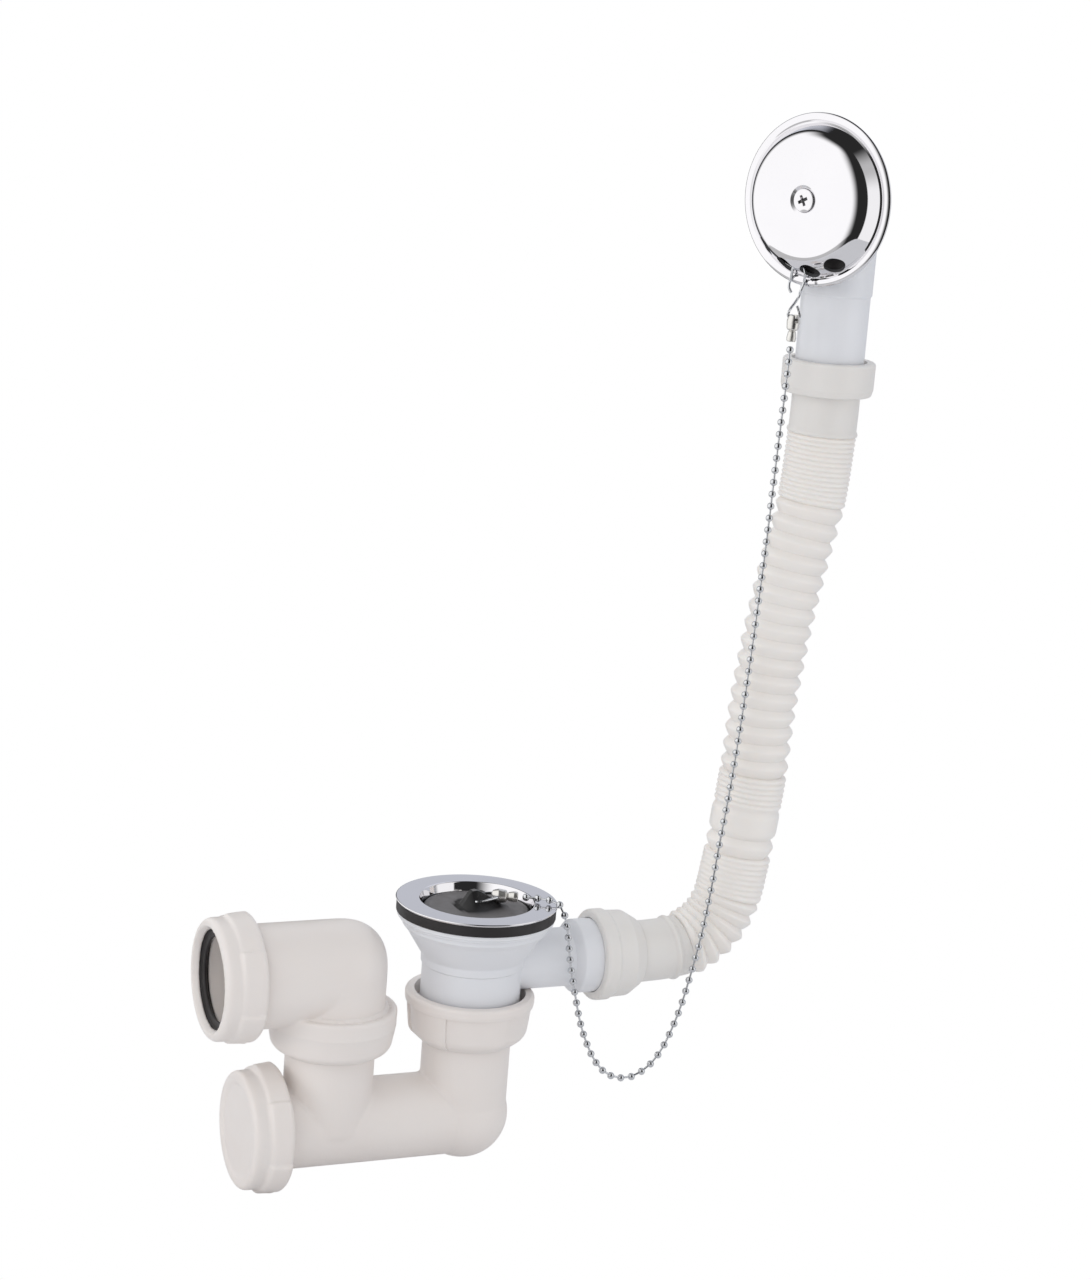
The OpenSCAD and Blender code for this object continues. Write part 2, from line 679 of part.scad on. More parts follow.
module cap_seal() {
    color(RUBBER)
        along_minus_x(boss_end - slim / 2, tube_z)
            ring(cap_boss_r - 0.6, tube_bore_r + 1, boss_end - cap_wall_end - slim);
}

// Outlet

module riser_nut() {
    length = shoulder_low - slim - inlet_nut_low;
    color(WHITE)
        translate([-trap_span, 0, inlet_nut_low])
            difference() {
                tail_nut_shape(shoulder_r - 0.3, length);
                nut_bore(length);
            }
}

module riser_seal() { translate([-trap_span, 0, 0]) inlet_seal(); }

module outlet_elbow() {
    lead = 1.4;
    socket_len = -trap_span - socket_end;
    thread_len = 9;
    color(WHITE)
        difference() {
            union() {
                translate([-trap_span, 0, elbow_z]) {
                    sphere(r = socket_r + 0.4);
                    rotate([0, -90, 0]) cylinder(r = socket_r, h = socket_len);
                    rotate([0, -90, 0])
                        translate([0, 0, socket_len - thread_len])
                            cylinder(r = socket_r + socket_thread, h = thread_len);
                }
                translate([-trap_span, 0, tail_end])
                    rotate_extrude()
                        polygon(rounded([
                            [0, 0, 0], [thread_r - lead, 0, 0], [thread_r, lead, 0],
                            [thread_r, shoulder_low - tail_end, 0],
                            [shoulder_r - 0.2, shoulder_low - tail_end, 0.6],
                            [shoulder_r, shoulder_top - tail_end, 2],
                            [shoulder_r - 2.8, shoulder_top - tail_end, 0.6],
                            [shoulder_r - 3.2, shoulder_top - tail_end - 1.4, 0.3],
                            [shoulder_r - 3.7, shoulder_top - tail_end - 1.4, 0.3],
                            [shoulder_r - 4.1, shoulder_top - tail_end + 0.5, 0.8],
                            [elbow_leg_r, shoulder_top - tail_end + 2.4, 2],
                            [elbow_leg_r, elbow_rise, 0], [0, elbow_rise, 0]]));
            }
            translate([-trap_span, 0, tail_end - through])
                cylinder(r = elbow_bore_r, h = elbow_rise + through);
            translate([-trap_span, 0, elbow_z]) {
                sphere(r = elbow_bore_r + 0.3);
                rotate([0, -90, 0]) cylinder(r = elbow_bore_r, h = socket_len + through);
                rotate([0, -90, 0])
                    translate([0, 0, socket_len - socket_depth])
                        cylinder(r = socket_bore_r, h = socket_depth + through);
            }
        }
}

module outlet_nut() {
    collar = outlet_nut_r + 1.7;
    lip_r = socket_bore_r + 0.8;
    length = outlet_nut_len;
    color(WHITE)
        along_minus_x(-trap_span - outlet_reach + length, elbow_z)
            difference() {
                union() {
                    rotate(-49)
                        gripped(grip_step, grips)
                            rotate_extrude()
                                polygon(rounded([
                                    [0, 0, 0], [collar - 1.6, 0, 0.8], [collar, 1.8, 1.4],
                                    [collar - 0.7, 10.6, 1.2], [outlet_nut_r - 1.2, 11.8, 0.5],
                                    [0, 11.8, 0]]));
                    rotate_extrude()
                        polygon(rounded([[0, 0, 0], [outlet_nut_r + 0.3, 0, 0],
                                         [outlet_nut_r, length, 3], [0, length, 0]]));
                }
                translate([0, 0, -through])
                    cylinder(r = socket_r + socket_thread + fit_gap,
                             h = length - outlet_lip + through);
                translate([0, 0, -through]) cylinder(r = lip_r, h = length + 2 * through);
                translate([0, 0, length - outlet_lip * 0.8])
                    cylinder(r1 = lip_r, r2 = lip_r + 1.6, h = outlet_lip * 0.8 + slim);
            }
}

module outlet_seal() {
    color(RUBBER)
        along_minus_x(socket_end - slim / 2, elbow_z)
            ring(socket_r + socket_thread - 0.3, socket_bore_r + fit_gap, outlet_seal_t - slim);
}

// Side outlet's nut, seal and the hose

module hose_nut() {
    color(WHITE)
        along_x(side_nut_face, -side_drop)
            difference() {
                rotate_extrude()
                    polygon(rounded([
                        [0, 0, 0], [side_thread_r + 1.2, 0, 0.6], [hose_nut_r, 0.4, 1.6],
                        [hose_nut_r, 6, 1], [hose_nut_r - 0.9, 7.4, 1],
                        [hose_nut_r - 1.2, side_nut_len - 6, 2], [cuff_low_r + 1.6, side_nut_len, 1.2],
                        [0, side_nut_len, 0]]));
                nut_hole(side_thread_r, cuff_low_r, hose_start + hose_flange_t + fit_gap - side_nut_face);
            }
}

// Bore of a hose nut: wide over the thread and the hose's flange, then a lip round the cuff
module nut_hole(wide_r, cuff_r, lip_at) {
    translate([0, 0, -through]) cylinder(r = wide_r + fit_gap, h = lip_at + through);
    translate([0, 0, lip_at - through]) cylinder(r = cuff_r + fit_gap, h = 40);
}

module hose_seal_low() {
    color(RUBBER)
        along_x(side_reach + slim / 2, -side_drop)
            ring(side_thread_r - 0.3, side_bore_r + 0.6, side_seal_t - slim);
}

module hose_seal_top() {
    color(RUBBER)
        translate([pipe_reach, 0, hose_finish + slim / 2])
            ring(side_thread_r - 0.3, pipe_bore_r + 0.6, side_seal_t - slim);
}

// Distance along the hose and radius for every ring of its skin
fold_len = total([for (g = FOLD_GROUPS) g[0] * g[1]]);
fold_begin = [for (i = 0, s = fold_start; i < len(FOLD_GROUPS);
                   s = s + FOLD_GROUPS[i][0] * FOLD_GROUPS[i][1], i = i + 1) s];
// An open fold is steep on its upper side and long on its lower side, as [share, depth share]
OPEN_FOLD = [[0, 1], [0.3, 0.3], [0.5, 0], [0.72, 0.14]];
TIGHT_FOLD = [[0, 1], [0.5, 0]];
fold_rings = [for (g = [0 : len(FOLD_GROUPS) - 1], k = [0 : FOLD_GROUPS[g][1] - 1])
    let (pitch = FOLD_GROUPS[g][0], depth = min(FOLD_GROUPS[g][2], fold_r - valley_r))
    each [for (q = pitch > 4 ? OPEN_FOLD : TIGHT_FOLD)
        [fold_begin[g] + (k + q[0]) * pitch, fold_r - q[1] * depth]]];
fold_end = fold_start + fold_len;
hose_rings = [
    [0, side_thread_r - 0.6], [hose_flange_t, side_thread_r - 0.6], [hose_flange_t, cuff_low_r],
    [12, cuff_low_r], [fold_start - 8, cuff_low_r], [fold_start - 6.6, cuff_low_r + 0.9],
    [fold_start - 5.2, cuff_low_r], [fold_start - 2, cuff_low_r],
    each fold_rings,
    [fold_end, fold_r - 0.8], [fold_end + 0.7, fold_r + 0.3], [fold_end + 1.9, fold_r + 0.3],
    [fold_end + 2.6, cuff_top_r], [(fold_end + hose_len) / 2, cuff_top_r],
    [hose_len - hose_flange_t, cuff_top_r], [hose_len - hose_flange_t, side_thread_r - 0.6],
    [hose_len, side_thread_r - 0.6]];
bore_steps = 30;
bore_rings = [for (k = [bore_steps : -1 : 0]) [hose_len * k / bore_steps, hose_bore_r]];

function hose_mid(s) = [lookup(s, hose_x), 0, lookup(s, hose_z)];
function hose_dir(s) = unit(hose_mid(min(s + 3, hose_len)) - hose_mid(max(s - 3, 0)));

module overflow_hose() {
    rings = concat(hose_rings, bore_rings);
    n = hose_sides;
    points = [for (q = rings)
        let (m = hose_mid(q[0]), d = hose_dir(q[0]), out = [d.z, 0, -d.x])
        each [for (k = [0 : n - 1])
            m + q[1] * (cos(k * 360 / n) * out + sin(k * 360 / n) * [0, 1, 0])]];
    faces = [for (i = [0 : len(rings) - 1], k = [0 : n - 1])
        let (j = (i + 1) % len(rings), l = (k + 1) % n)
        each [[i * n + k, i * n + l, j * n + l], [i * n + k, j * n + l, j * n + k]]];
    color(WHITE) polyhedron(points, faces);
}

// Overflow

module overflow_nut() {
    color(WHITE)
        translate([pipe_reach, 0, top_nut_low])
            difference() {
                rotate_extrude()
                    polygon(rounded([
                        [0, 0, 0], [hose_nut_r - 0.8, 0, 1], [hose_nut_r, 3, 2],
                        [hose_nut_r + 0.1, top_nut_len, 1.2], [0, top_nut_len, 0]]));
                translate([0, 0, -through]) cylinder(r = cuff_top_r + fit_gap, h = 20);
                translate([0, 0, 1.3]) cylinder(r = side_thread_r + fit_gap, h = top_nut_len);
            }
}

module overflow_body() {
    lead = 1.4;
    stub_r = pipe_r + 2;
    thread_len = 8;
    color(BODY_WHITE) {
        difference() {
            union() {
                translate([pipe_reach, 0, pipe_end])
                    rotate_extrude()
                        polygon(rounded([
                            [0, 0, 0], [side_thread_r - lead, 0, 0], [side_thread_r, lead, 0],
                            [side_thread_r, thread_len - lead, 0], [pipe_r, thread_len, 0],
                            [pipe_r, cover_h - pipe_end - 41, 0], [pipe_r + 0.6, cover_h - pipe_end - 40, 0.5],
                            [pipe_r + 0.6, cover_h - pipe_end, 0], [0, cover_h - pipe_end, 0]]));
                translate([pipe_reach, 0, cover_h]) sphere(r = pipe_r + 1);
                head() translate([0, 0, -pipe_back]) cylinder(r = pipe_r + 0.4, h = pipe_back - gasket_t);
                head()
                    translate([0, 0, -gasket_t - wall_plate_t])
                        rotate_extrude()
                            polygon(rounded([
                                [0, -3, 0], [stub_r, -3, 0.6], [stub_r + 1, 0, 2],
                                [wall_plate_r, 0, 1], [wall_plate_r, wall_plate_t, 0.6],
                                [0, wall_plate_t, 0]]));
            }
            translate([pipe_reach, 0, pipe_end - through])
                cylinder(r = pipe_bore_r, h = cover_h - pipe_end + through);
            translate([pipe_reach, 0, cover_h]) sphere(r = pipe_bore_r + 0.4);
            head() translate([0, 0, -pipe_back]) cylinder(r = pipe_bore_r, h = pipe_back + through);
        }
        head() overflow_bridge();
    }
}

boss_r = 4.2;
boss_len = 9;
boss_front = -gasket_t - 1;
cover_screw_r = 2.4;
nut_insert_r = 3.3;

// Two ribs across the overflow's mouth that carry the boss for the cover's screw
module overflow_bridge() {
    translate([0, 0, boss_front - boss_len])
        difference() {
            union() {
                cylinder(r = boss_r, h = boss_len);
                for (turn = [0, 180])
                    rotate(turn)
                        translate([boss_r - 0.8, -rib_t / 2, 1])
                            cube([pipe_bore_r - boss_r + 1.4, rib_t, boss_len - 2]);
            }
            translate([0, 0, 1.5]) cylinder(r = nut_insert_r, h = boss_len);
            translate([0, 0, -through]) cylinder(r = cover_screw_r + fit_gap, h = boss_len);
        }
}

module screw_insert() {
    color(BRASS)
        head()
            translate([0, 0, boss_front - boss_len + 1.5])
                ring(nut_insert_r - slim, cover_screw_r + slim / 2, boss_len - 1.5);
}

module overflow_gasket() {
    color(RUBBER)
        head() translate([0, 0, -gasket_t + slim / 2])
            ring(wall_plate_r, pipe_bore_r + 2, gasket_t - slim);
}

module overflow_cover() {
    color(CHROME)
        head()
            rotate(cover_turn)
                difference() {
                    rotate_extrude()
                        polygon(rounded([
                            [recess_r - 2, dome_h - recess_t, 0.3], [recess_r, dome_h - 0.2, 0.5],
                            [face_r, dome_h - 1.2, 5], [dome_r, sheet_t + 0.4, 1.4],
                            [cover_r - 1.6, sheet_t, 0.4], [cover_r - 1, sheet_t + 0.8, 0.6],
                            [cover_r, sheet_t, 0.5], [cover_r, 0, 0.3],
                            [dome_r - sheet_t, 0, 0.6], [face_r - sheet_t, dome_h - 1.2 - sheet_t, 4],
                            [recess_r - 0.4, dome_h - sheet_t - 0.4, 0.3],
                            [recess_r - 1.6, dome_h - recess_t - sheet_t, 0.3],
                            [2.9, dome_h - recess_t - sheet_t, 0], [2.9, dome_h - recess_t, 0]]));
                    for (i = [0 : hole_count - 1])
                        rotate(180 + hole_turn(i) - cover_turn)
                            translate([hole_mid_r, 0, hole_mid_h])
                                rotate([0, 90 - wall_lean, 0])
                                    cylinder(r = hole_r, h = 5, center = true);
                }
}

module cover_screw() {
    head_r = 4.3;
    seat = dome_h - recess_t + slim / 2;
    color(CHROME)
        head()
            difference() {
                union() {
                    translate([0, 0, seat])
                        rotate_extrude()
                            polygon(rounded([[0, 0, 0], [head_r, 0, 0.3], [head_r, 0.5, 0.4],
                                             [head_r * 0.6, 1.3, 1.5], [0, 1.4, 0]]));
                    translate([0, 0, boss_front - boss_len + 2])
                        cylinder(r = cover_screw_r, h = seat - boss_front + boss_len - 1.5);
                }
                for (turn = [0, 90])
                    rotate(turn + 20) translate([-2.3, -0.45, seat + 0.5]) cube([4.6, 0.9, 3]);
            }
}

waste_flange();
waste_washer();
waste_body();
waste_screw();
waste_insert();
plug();
plug_ring();
plug_coupling();
ball_chain();
hook_coupling();
chain_hook();
inlet_nut();
inlet_seal();
trap_body();
cleaning_cap();
cap_seal();
riser_nut();
riser_seal();
outlet_elbow();
outlet_nut();
outlet_seal();
hose_nut();
hose_seal_low();
overflow_hose();
hose_seal_top();
overflow_nut();
overflow_body();
overflow_gasket();
screw_insert();
overflow_cover();
cover_screw();
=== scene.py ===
"""Looks for the bath waste and overflow set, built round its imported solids.

Metres, in the part's own frame: +Z up, +X from the waste to the overflow hose, and the seat
under the waste's chrome rim at zero.
"""

import json
import math

import bmesh
import bpy
import numpy as np
from mathutils import Matrix, Vector


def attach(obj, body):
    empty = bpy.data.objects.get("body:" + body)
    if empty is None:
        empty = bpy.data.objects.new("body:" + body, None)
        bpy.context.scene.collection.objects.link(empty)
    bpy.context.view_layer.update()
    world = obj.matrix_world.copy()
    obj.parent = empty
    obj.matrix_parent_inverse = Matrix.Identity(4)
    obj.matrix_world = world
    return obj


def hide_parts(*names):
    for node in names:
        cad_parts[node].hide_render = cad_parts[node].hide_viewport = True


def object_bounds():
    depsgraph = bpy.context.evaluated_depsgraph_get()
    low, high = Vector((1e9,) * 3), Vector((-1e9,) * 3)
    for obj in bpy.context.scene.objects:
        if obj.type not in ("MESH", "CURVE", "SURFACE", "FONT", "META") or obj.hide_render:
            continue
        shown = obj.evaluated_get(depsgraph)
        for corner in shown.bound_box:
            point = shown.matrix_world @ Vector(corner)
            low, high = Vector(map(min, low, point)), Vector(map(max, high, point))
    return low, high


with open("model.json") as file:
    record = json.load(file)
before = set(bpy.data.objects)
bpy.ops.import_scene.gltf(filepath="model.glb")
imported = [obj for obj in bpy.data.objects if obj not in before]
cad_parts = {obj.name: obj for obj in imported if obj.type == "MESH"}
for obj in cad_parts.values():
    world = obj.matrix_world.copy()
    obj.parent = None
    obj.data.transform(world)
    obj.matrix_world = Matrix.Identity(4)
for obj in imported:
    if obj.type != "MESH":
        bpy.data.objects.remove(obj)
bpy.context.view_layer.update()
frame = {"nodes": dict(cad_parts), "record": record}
MM = 0.001

# Camera, placed by matching the photo's ellipses and edges
CAMERA_AT = (-501.26, -1136.47, 401.79)
CAMERA_RIGHT = (0.91269, -0.40131, 0.07716)
CAMERA_UP = (0.02122, 0.23509, 0.97174)
SENSOR = 36
LENS = 84.98

# The hose's middle line as (x, z) in millimetres: the points of the part's source, which the
# photo's upper bend draws up to 3.3 mm outward
HOSE_ROUTE = [
    (68, -27.7), (74, -27.7), (80, -27.7), (93, -27), (104, -24.5), (114.5, -17), (121, -5.5),
    (124, 10), (126.5, 30), (129, 55), (130.5, 85), (134.5, 120), (139.6, 150), (144.6, 175),
    (146.3, 196), (146.9, 211), (147, 219), (147, 223), (147, 227)]

# The chain's middle line, the same points as in the part's source, in millimetres
CHAIN_ROUTE = [
    (120.8, -11.5, 247), (120.4, -11.8, 232), (119, -12.2, 200), (117.4, -13, 160),
    (115, -14, 118), (112.4, -15, 82), (109.4, -16, 50), (106.4, -16.6, 25),
    (104, -17.2, 4), (101, -17.5, -17), (97, -17.5, -37), (93, -17.5, -52.5),
    (87.5, -17, -67), (81, -17, -75.5), (72, -17, -80), (62, -17, -78), (54.7, -17, -71),
    (49.5, -17, -61.5), (45.8, -17, -52), (42.5, -17, -40), (39, -17.2, -26),
    (36.4, -17.5, -12), (34.8, -17.5, -5), (33.2, -17, -0.5), (31, -15, 2.9),
    (27.5, -11.5, 3.1), (22.5, -8, 3.1), (16.5, -5, 2.8)]
BALL_D = 3.2
LINK_D = 0.9
BALL_PITCH = 5.2

# Radius of the room that the chrome mirrors, in metres
ROOM_R = 0.62


# Geometry helpers

def spline(points, steps=12):
    """Points along a smooth curve through the given ones, as the part's source draws it."""
    p = np.array(points, float)
    line = []
    for i in range(len(p) - 1):
        a, b, c, d = p[max(i - 1, 0)], p[i], p[i + 1], p[min(i + 2, len(p) - 1)]
        for k in range(steps):
            t = k / steps
            line.append(0.5 * (2 * b + (c - a) * t + (2 * a - 5 * b + 4 * c - d) * t * t
                               + (3 * b - a - 3 * c + d) * t ** 3))
    line.append(p[-1])
    return np.array(line)


class Line:
    """A polyline that gives the point and the direction at a distance along it."""

    def __init__(self, points):
        self.points = np.array(points, float)
        steps = np.linalg.norm(np.diff(self.points, axis=0), axis=1)
        self.at = np.concatenate([[0], np.cumsum(steps)])
        self.length = self.at[-1]

    def point(self, s):
        return np.array([np.interp(s, self.at, self.points[:, k]) for k in range(3)])

    def way(self, s, reach=1.0):
        v = self.point(min(s + reach, self.length)) - self.point(max(s - reach, 0))
        return v / np.linalg.norm(v)


def new_object(name, verts, faces, smooth=35):
    """Mesh object from points in millimetres, with edges sharper than the angle kept sharp."""
    mesh = bpy.data.meshes.new(name)
    mesh.from_pydata([tuple(float(c) * MM for c in v) for v in verts], [], faces)
    mesh.validate()
    bm = bmesh.new()
    bm.from_mesh(mesh)
    bmesh.ops.recalc_face_normals(bm, faces=bm.faces)
    bm.to_mesh(mesh)
    bm.free()
    obj = bpy.data.objects.new(name, mesh)
    bpy.context.scene.collection.objects.link(obj)
    shade(obj, smooth)
    return obj


def shade(obj, angle):
    obj.data.shade_smooth()
    obj.data.set_sharp_from_angle(angle=math.radians(angle))


def lathe(profile, sides=96, closed=True):
    """Verts and faces of an outline of (radius, height) turned about z; closed outlines join up."""
    verts, faces = [], []
    n = len(profile)
    for r, h in profile:
        for k in range(sides):
            a = 2 * math.pi * k / sides
            verts.append((r * math.cos(a), r * math.sin(a), h))
    for i in range(n if closed else n - 1):
        j = (i + 1) % n
        for k in range(sides):
            m = (k + 1) % sides
            faces.append((i * sides + k, i * sides + m, j * sides + m, j * sides + k))
    return verts, faces


def arc(centre, radius, start, end, steps):
    """Points of an arc in an outline, angles in degrees."""
    turns = np.radians(np.linspace(start, end, steps))
    return [(centre[0] + radius * math.cos(t), centre[1] + radius * math.sin(t)) for t in turns]


def rounded(corners, steps=8):
    """An outline whose corners, given as (x, y, radius), are turned into arcs."""
    outline = []
    for i, (x, y, radius) in enumerate(corners):
        here = Vector((x, y))
        back = (Vector(corners[i - 1][:2]) - here).normalized()
        on = (Vector(corners[(i + 1) % len(corners)][:2]) - here).normalized()
        half = back.angle(on) / 2
        if radius == 0 or half > 1.57:
            outline.append((x, y))
            continue
        centre = here + (back + on).normalized() * radius / math.sin(half)
        start = here + back * radius / math.tan(half) - centre
        end = here + on * radius / math.tan(half) - centre
        a = math.atan2(start.y, start.x)
        turn = (math.atan2(end.y, end.x) - a + 3 * math.pi) % (2 * math.pi) - math.pi
        for k in range(steps + 1):
            t = a + turn * k / steps
            outline.append((centre.x + radius * math.cos(t), centre.y + radius * math.sin(t)))
    return outline


def rod(radius, low, high, sides=64):
    """Verts and faces of a round bar along z."""
    turns = [2 * math.pi * k / sides for k in range(sides)]
    verts = [(radius * math.cos(t), radius * math.sin(t), h) for h in (low, high) for t in turns]
    faces = [(k, (k + 1) % sides, sides + (k + 1) % sides, sides + k) for k in range(sides)]
    return verts, faces + [tuple(range(sides)), tuple(range(sides, 2 * sides))]


def applied(obj):
    """The object with its modifiers made part of its mesh."""
    graph = bpy.context.evaluated_depsgraph_get()
    mesh = bpy.data.meshes.new_from_object(obj.evaluated_get(graph))
    obj.modifiers.clear()
    obj.data = mesh
    return obj


def cut(obj, cutter):
    """Takes the cutter's shape out of the object, and the cutter out of the scene."""
    hole = obj.modifiers.new("hole", "BOOLEAN")
    hole.object = cutter
    hole.solver = "EXACT"
    applied(obj)
    bpy.data.objects.remove(cutter)


def placed(verts, origin, z_axis, x_axis=(0, 1, 0)):
    """The points moved so that their z axis lies along z_axis at the origin, in millimetres."""
    z = Vector(z_axis).normalized()
    y = z.cross(Vector(x_axis)).normalized()
    x = y.cross(z)
    o = Vector(origin)
    return [o + x * v[0] + y * v[1] + z * v[2] for v in verts]


# Camera

def make_camera():
    data = bpy.data.cameras.new("camera")
    data.sensor_fit = "AUTO"
    data.sensor_width = SENSOR
    data.lens = LENS
    data.clip_start = 0.05
    data.clip_end = 20
    cam = bpy.data.objects.new("camera", data)
    bpy.context.scene.collection.objects.link(cam)
    right, up = Vector(CAMERA_RIGHT), Vector(CAMERA_UP)
    back = right.cross(up).normalized()
    up = back.cross(right).normalized()
    turn = Matrix((right, up, back)).transposed().to_4x4()
    cam.matrix_world = Matrix.Translation(Vector(CAMERA_AT) * MM) @ turn
    bpy.context.scene.camera = cam
    return cam


# Chain

def ball_chain():
    """Hollow balls on short wire links, laid along the route as one mesh."""
    line = Line(spline(CHAIN_ROUTE))
    count = int((line.length - BALL_D) / BALL_PITCH)
    first = (line.length - count * BALL_PITCH) / 2
    centres = [line.point(first + i * BALL_PITCH) for i in range(count + 1)]
    verts, faces = [], []

    def add(v, f):
        base = len(verts)
        verts.extend(v)
        faces.extend(tuple(base + i for i in face) for face in f)

    # A ball's outline has a small lip round the hole that each wire comes out of
    r, hole = BALL_D / 2, LINK_D / 2 + 0.12
    rise = math.degrees(math.asin(hole / r))
    outline = [(0.02, -r * 0.9), (hole * 0.9, -r * 0.93)]
    outline += [(x, y) for x, y in arc((0, 0), r, -90 + rise, 90 - rise, 15)]
    outline += [(hole * 0.9, r * 0.93), (0.02, r * 0.9)]
    for i, c in enumerate(centres):
        way = line.way(first + i * BALL_PITCH)
        v, f = lathe(outline, 20)
        add(placed(v, c, way), f)
    for a, b in zip(centres, centres[1:]):
        way = (b - a) / np.linalg.norm(b - a)
        gap = np.linalg.norm(b - a)
        w = LINK_D / 2
        v, f = lathe([(0.02, r * 0.8), (w, r * 0.8), (w, gap - r * 0.8), (0.02, gap - r * 0.8)], 12)
        add(placed(v, a, way), f)
    chain = new_object("chain_of_balls", verts, faces)
    return chain, line


# Hose

FOLD_R = 15
CUFF_LOW_R = 13.6
CUFF_TOP_R = 14.8
FLANGE_R = 15.6
FLANGE_T = 2.4
HOSE_BORE_R = 11.2
# Groups of folds from the lower cuff upward, as (pitch, number, depth)
FOLD_GROUPS = [
    (5.4, 6, 2.4), (2.4, 8, 0.7), (8.5, 1, 2.4), (14, 1, 2.2), (2.4, 6, 0.7),
    (7.73, 16, 2.4), (2.13, 14, 0.7)]
FOLD_START = 33
BEND_FROM, BEND_TO = 33, 84


def fold_depth(q, pitch):
    """Share of a fold's depth at q from 0 to 1 along it: creased valleys and a round crown."""
    if pitch > 10:
        edge = min(q, 1 - q) / 0.24
        return (1 - min(edge, 1)) ** 2
    crown = 0.6 if pitch > 4 else 0.5
    turn = 0.5 * q / crown if q < crown else 0.5 + 0.5 * (q - crown) / (1 - crown)
    return 1 - 0.5 * math.sin(math.pi * turn) - 0.5 * (1 - abs(2 * turn - 1))


def hose_rings(length):
    """(distance, radius, depth of fold) for each ring of the hose's outer skin."""
    rings = [(0, FLANGE_R, 0), (FLANGE_T, FLANGE_R, 0), (FLANGE_T + 0.1, CUFF_LOW_R, 0)]
    rings += [(s, CUFF_LOW_R, 0) for s in (6, 10, 14, 18, 22, 24)]
    bead = FOLD_START - 6.6
    for k in range(7):
        t = k / 6
        rings.append((bead + (t - 0.5) * 2.8, CUFF_LOW_R + 0.9 * math.sin(math.pi * t), 0))
    rings.append((FOLD_START - 3.4, CUFF_LOW_R, 0))
    rings.append((FOLD_START - 1.2, CUFF_LOW_R + 0.1, 0))
    s = FOLD_START
    for pitch, count, depth in FOLD_GROUPS:
        steps = 12 if pitch > 4 else 6
        for i in range(count):
            for k in range(steps):
                share = fold_depth(k / steps, pitch)
                rings.append((s + pitch * k / steps, FOLD_R + 0.1 - share * depth, share * depth))
            s += pitch
    for d, r in ((0, FOLD_R - 0.8), (0.5, FOLD_R + 0.3), (1.1, FOLD_R + 0.5), (1.9, FOLD_R + 0.3),
                 (2.6, CUFF_TOP_R)):
        rings.append((s + d, r, 0))
    end = length - FLANGE_T
    rings += [(s + 2.6 + (end - s - 2.7) * k / 8, CUFF_TOP_R, 0) for k in range(1, 9)]
    rings += [(end, FLANGE_R, 0), (length, FLANGE_R, 0)]
    return rings


def bellows_hose():
    line = Line(spline([(x, 0, z) for x, z in HOSE_ROUTE]))
    rings = [(s, r, d) for s, r, d in hose_rings(line.length)]
    bore = [(line.length * k / 60, HOSE_BORE_R, 0) for k in range(60, -1, -1)]
    sides = 72
    verts, faces = [], []
    for s, r, depth in rings + bore:
        mid, way = line.point(s), line.way(s, 3)
        out = np.array([way[2], 0, -way[0]])
        bent = BEND_FROM < s < BEND_TO
        for k in range(sides):
            a = 2 * math.pi * k / sides
            # On the inside of the bend the folds are pressed together and barely show
            pressed = 0.62 * depth * max(0, -math.cos(a)) if bent else 0
            side = math.cos(a) * out + math.sin(a) * np.array([0, 1, 0])
            verts.append(mid + (r + pressed) * side)
    total = len(rings) + len(bore)
    for i in range(total):
        j = (i + 1) % total
        for k in range(sides):
            m = (k + 1) % sides
            faces.append((i * sides + k, i * sides + m, j * sides + m, j * sides + k))
    hose = new_object("bellows_hose", verts, faces, 60)
    ends = (FOLD_START - 1.2, FOLD_START + sum(pitch * count for pitch, count, depth in FOLD_GROUPS))
    # One plastic in two tones, the folds lighter and the cuffs darker: painted light and shade
    hose.data.materials.append(MATERIALS["hose_white"])
    hose.data.materials.append(MATERIALS["cuff_white"])
    for i, face in enumerate(hose.data.polygons):
        ring = i // sides
        if ring >= len(rings) or not ends[0] < rings[ring][0] < ends[1]:
            face.material_index = 1
    return hose


# Outlet's lip seal, its free lips leaning in to where a pipe will press them back

SOCKET_AXIS_Z = -27.1
SEAL_X = -112.4


def lip_seal():
    outline = [(23.4, 0.1), (23.4, 3.5), (21.2, 3.5), (20.9, 3.1)]
    outline += arc((18.6, 2.3), 0.75, 80, 260, 7)
    outline += [(20.2, 0.8), (20.6, 0.1)]
    v, f = lathe(outline, 128)
    return new_object("lip_seal", placed(v, (SEAL_X, 0, SOCKET_AXIS_Z), (-1, 0, 0)), f, 40)


# Overflow cover and its screw, turned finer than their solids so that their reflections run smooth

HEAD_TURN = math.radians(28)
HEAD_OUT = Vector((-math.cos(HEAD_TURN), -math.sin(HEAD_TURN), 0))
HEAD_RIGHT = Vector((math.sin(HEAD_TURN), -math.cos(HEAD_TURN), 0))
HEAD_CENTRE = Vector((147, 0, 306.6)) + 22 * HEAD_OUT
COVER_R = 36.6
DOME_R = 32
FACE_R = 27
DOME_H = 11.2
SHEET = 0.8
RECESS_R = 6.4
RECESS_T = 1.4
HOLE_R = 4.6
HOLE_TURNS = (-43.25, -18.75, 5.75, 30.25)
WALL_LEAN = math.radians(29.6)
NIB_TURN = 4
SCREW_R = 2.4
SCREW_END = -11


def on_head(verts):
    """Points given as right, up and out from the middle of the overflow's seat."""
    return placed(verts, HEAD_CENTRE, HEAD_OUT, HEAD_RIGHT)


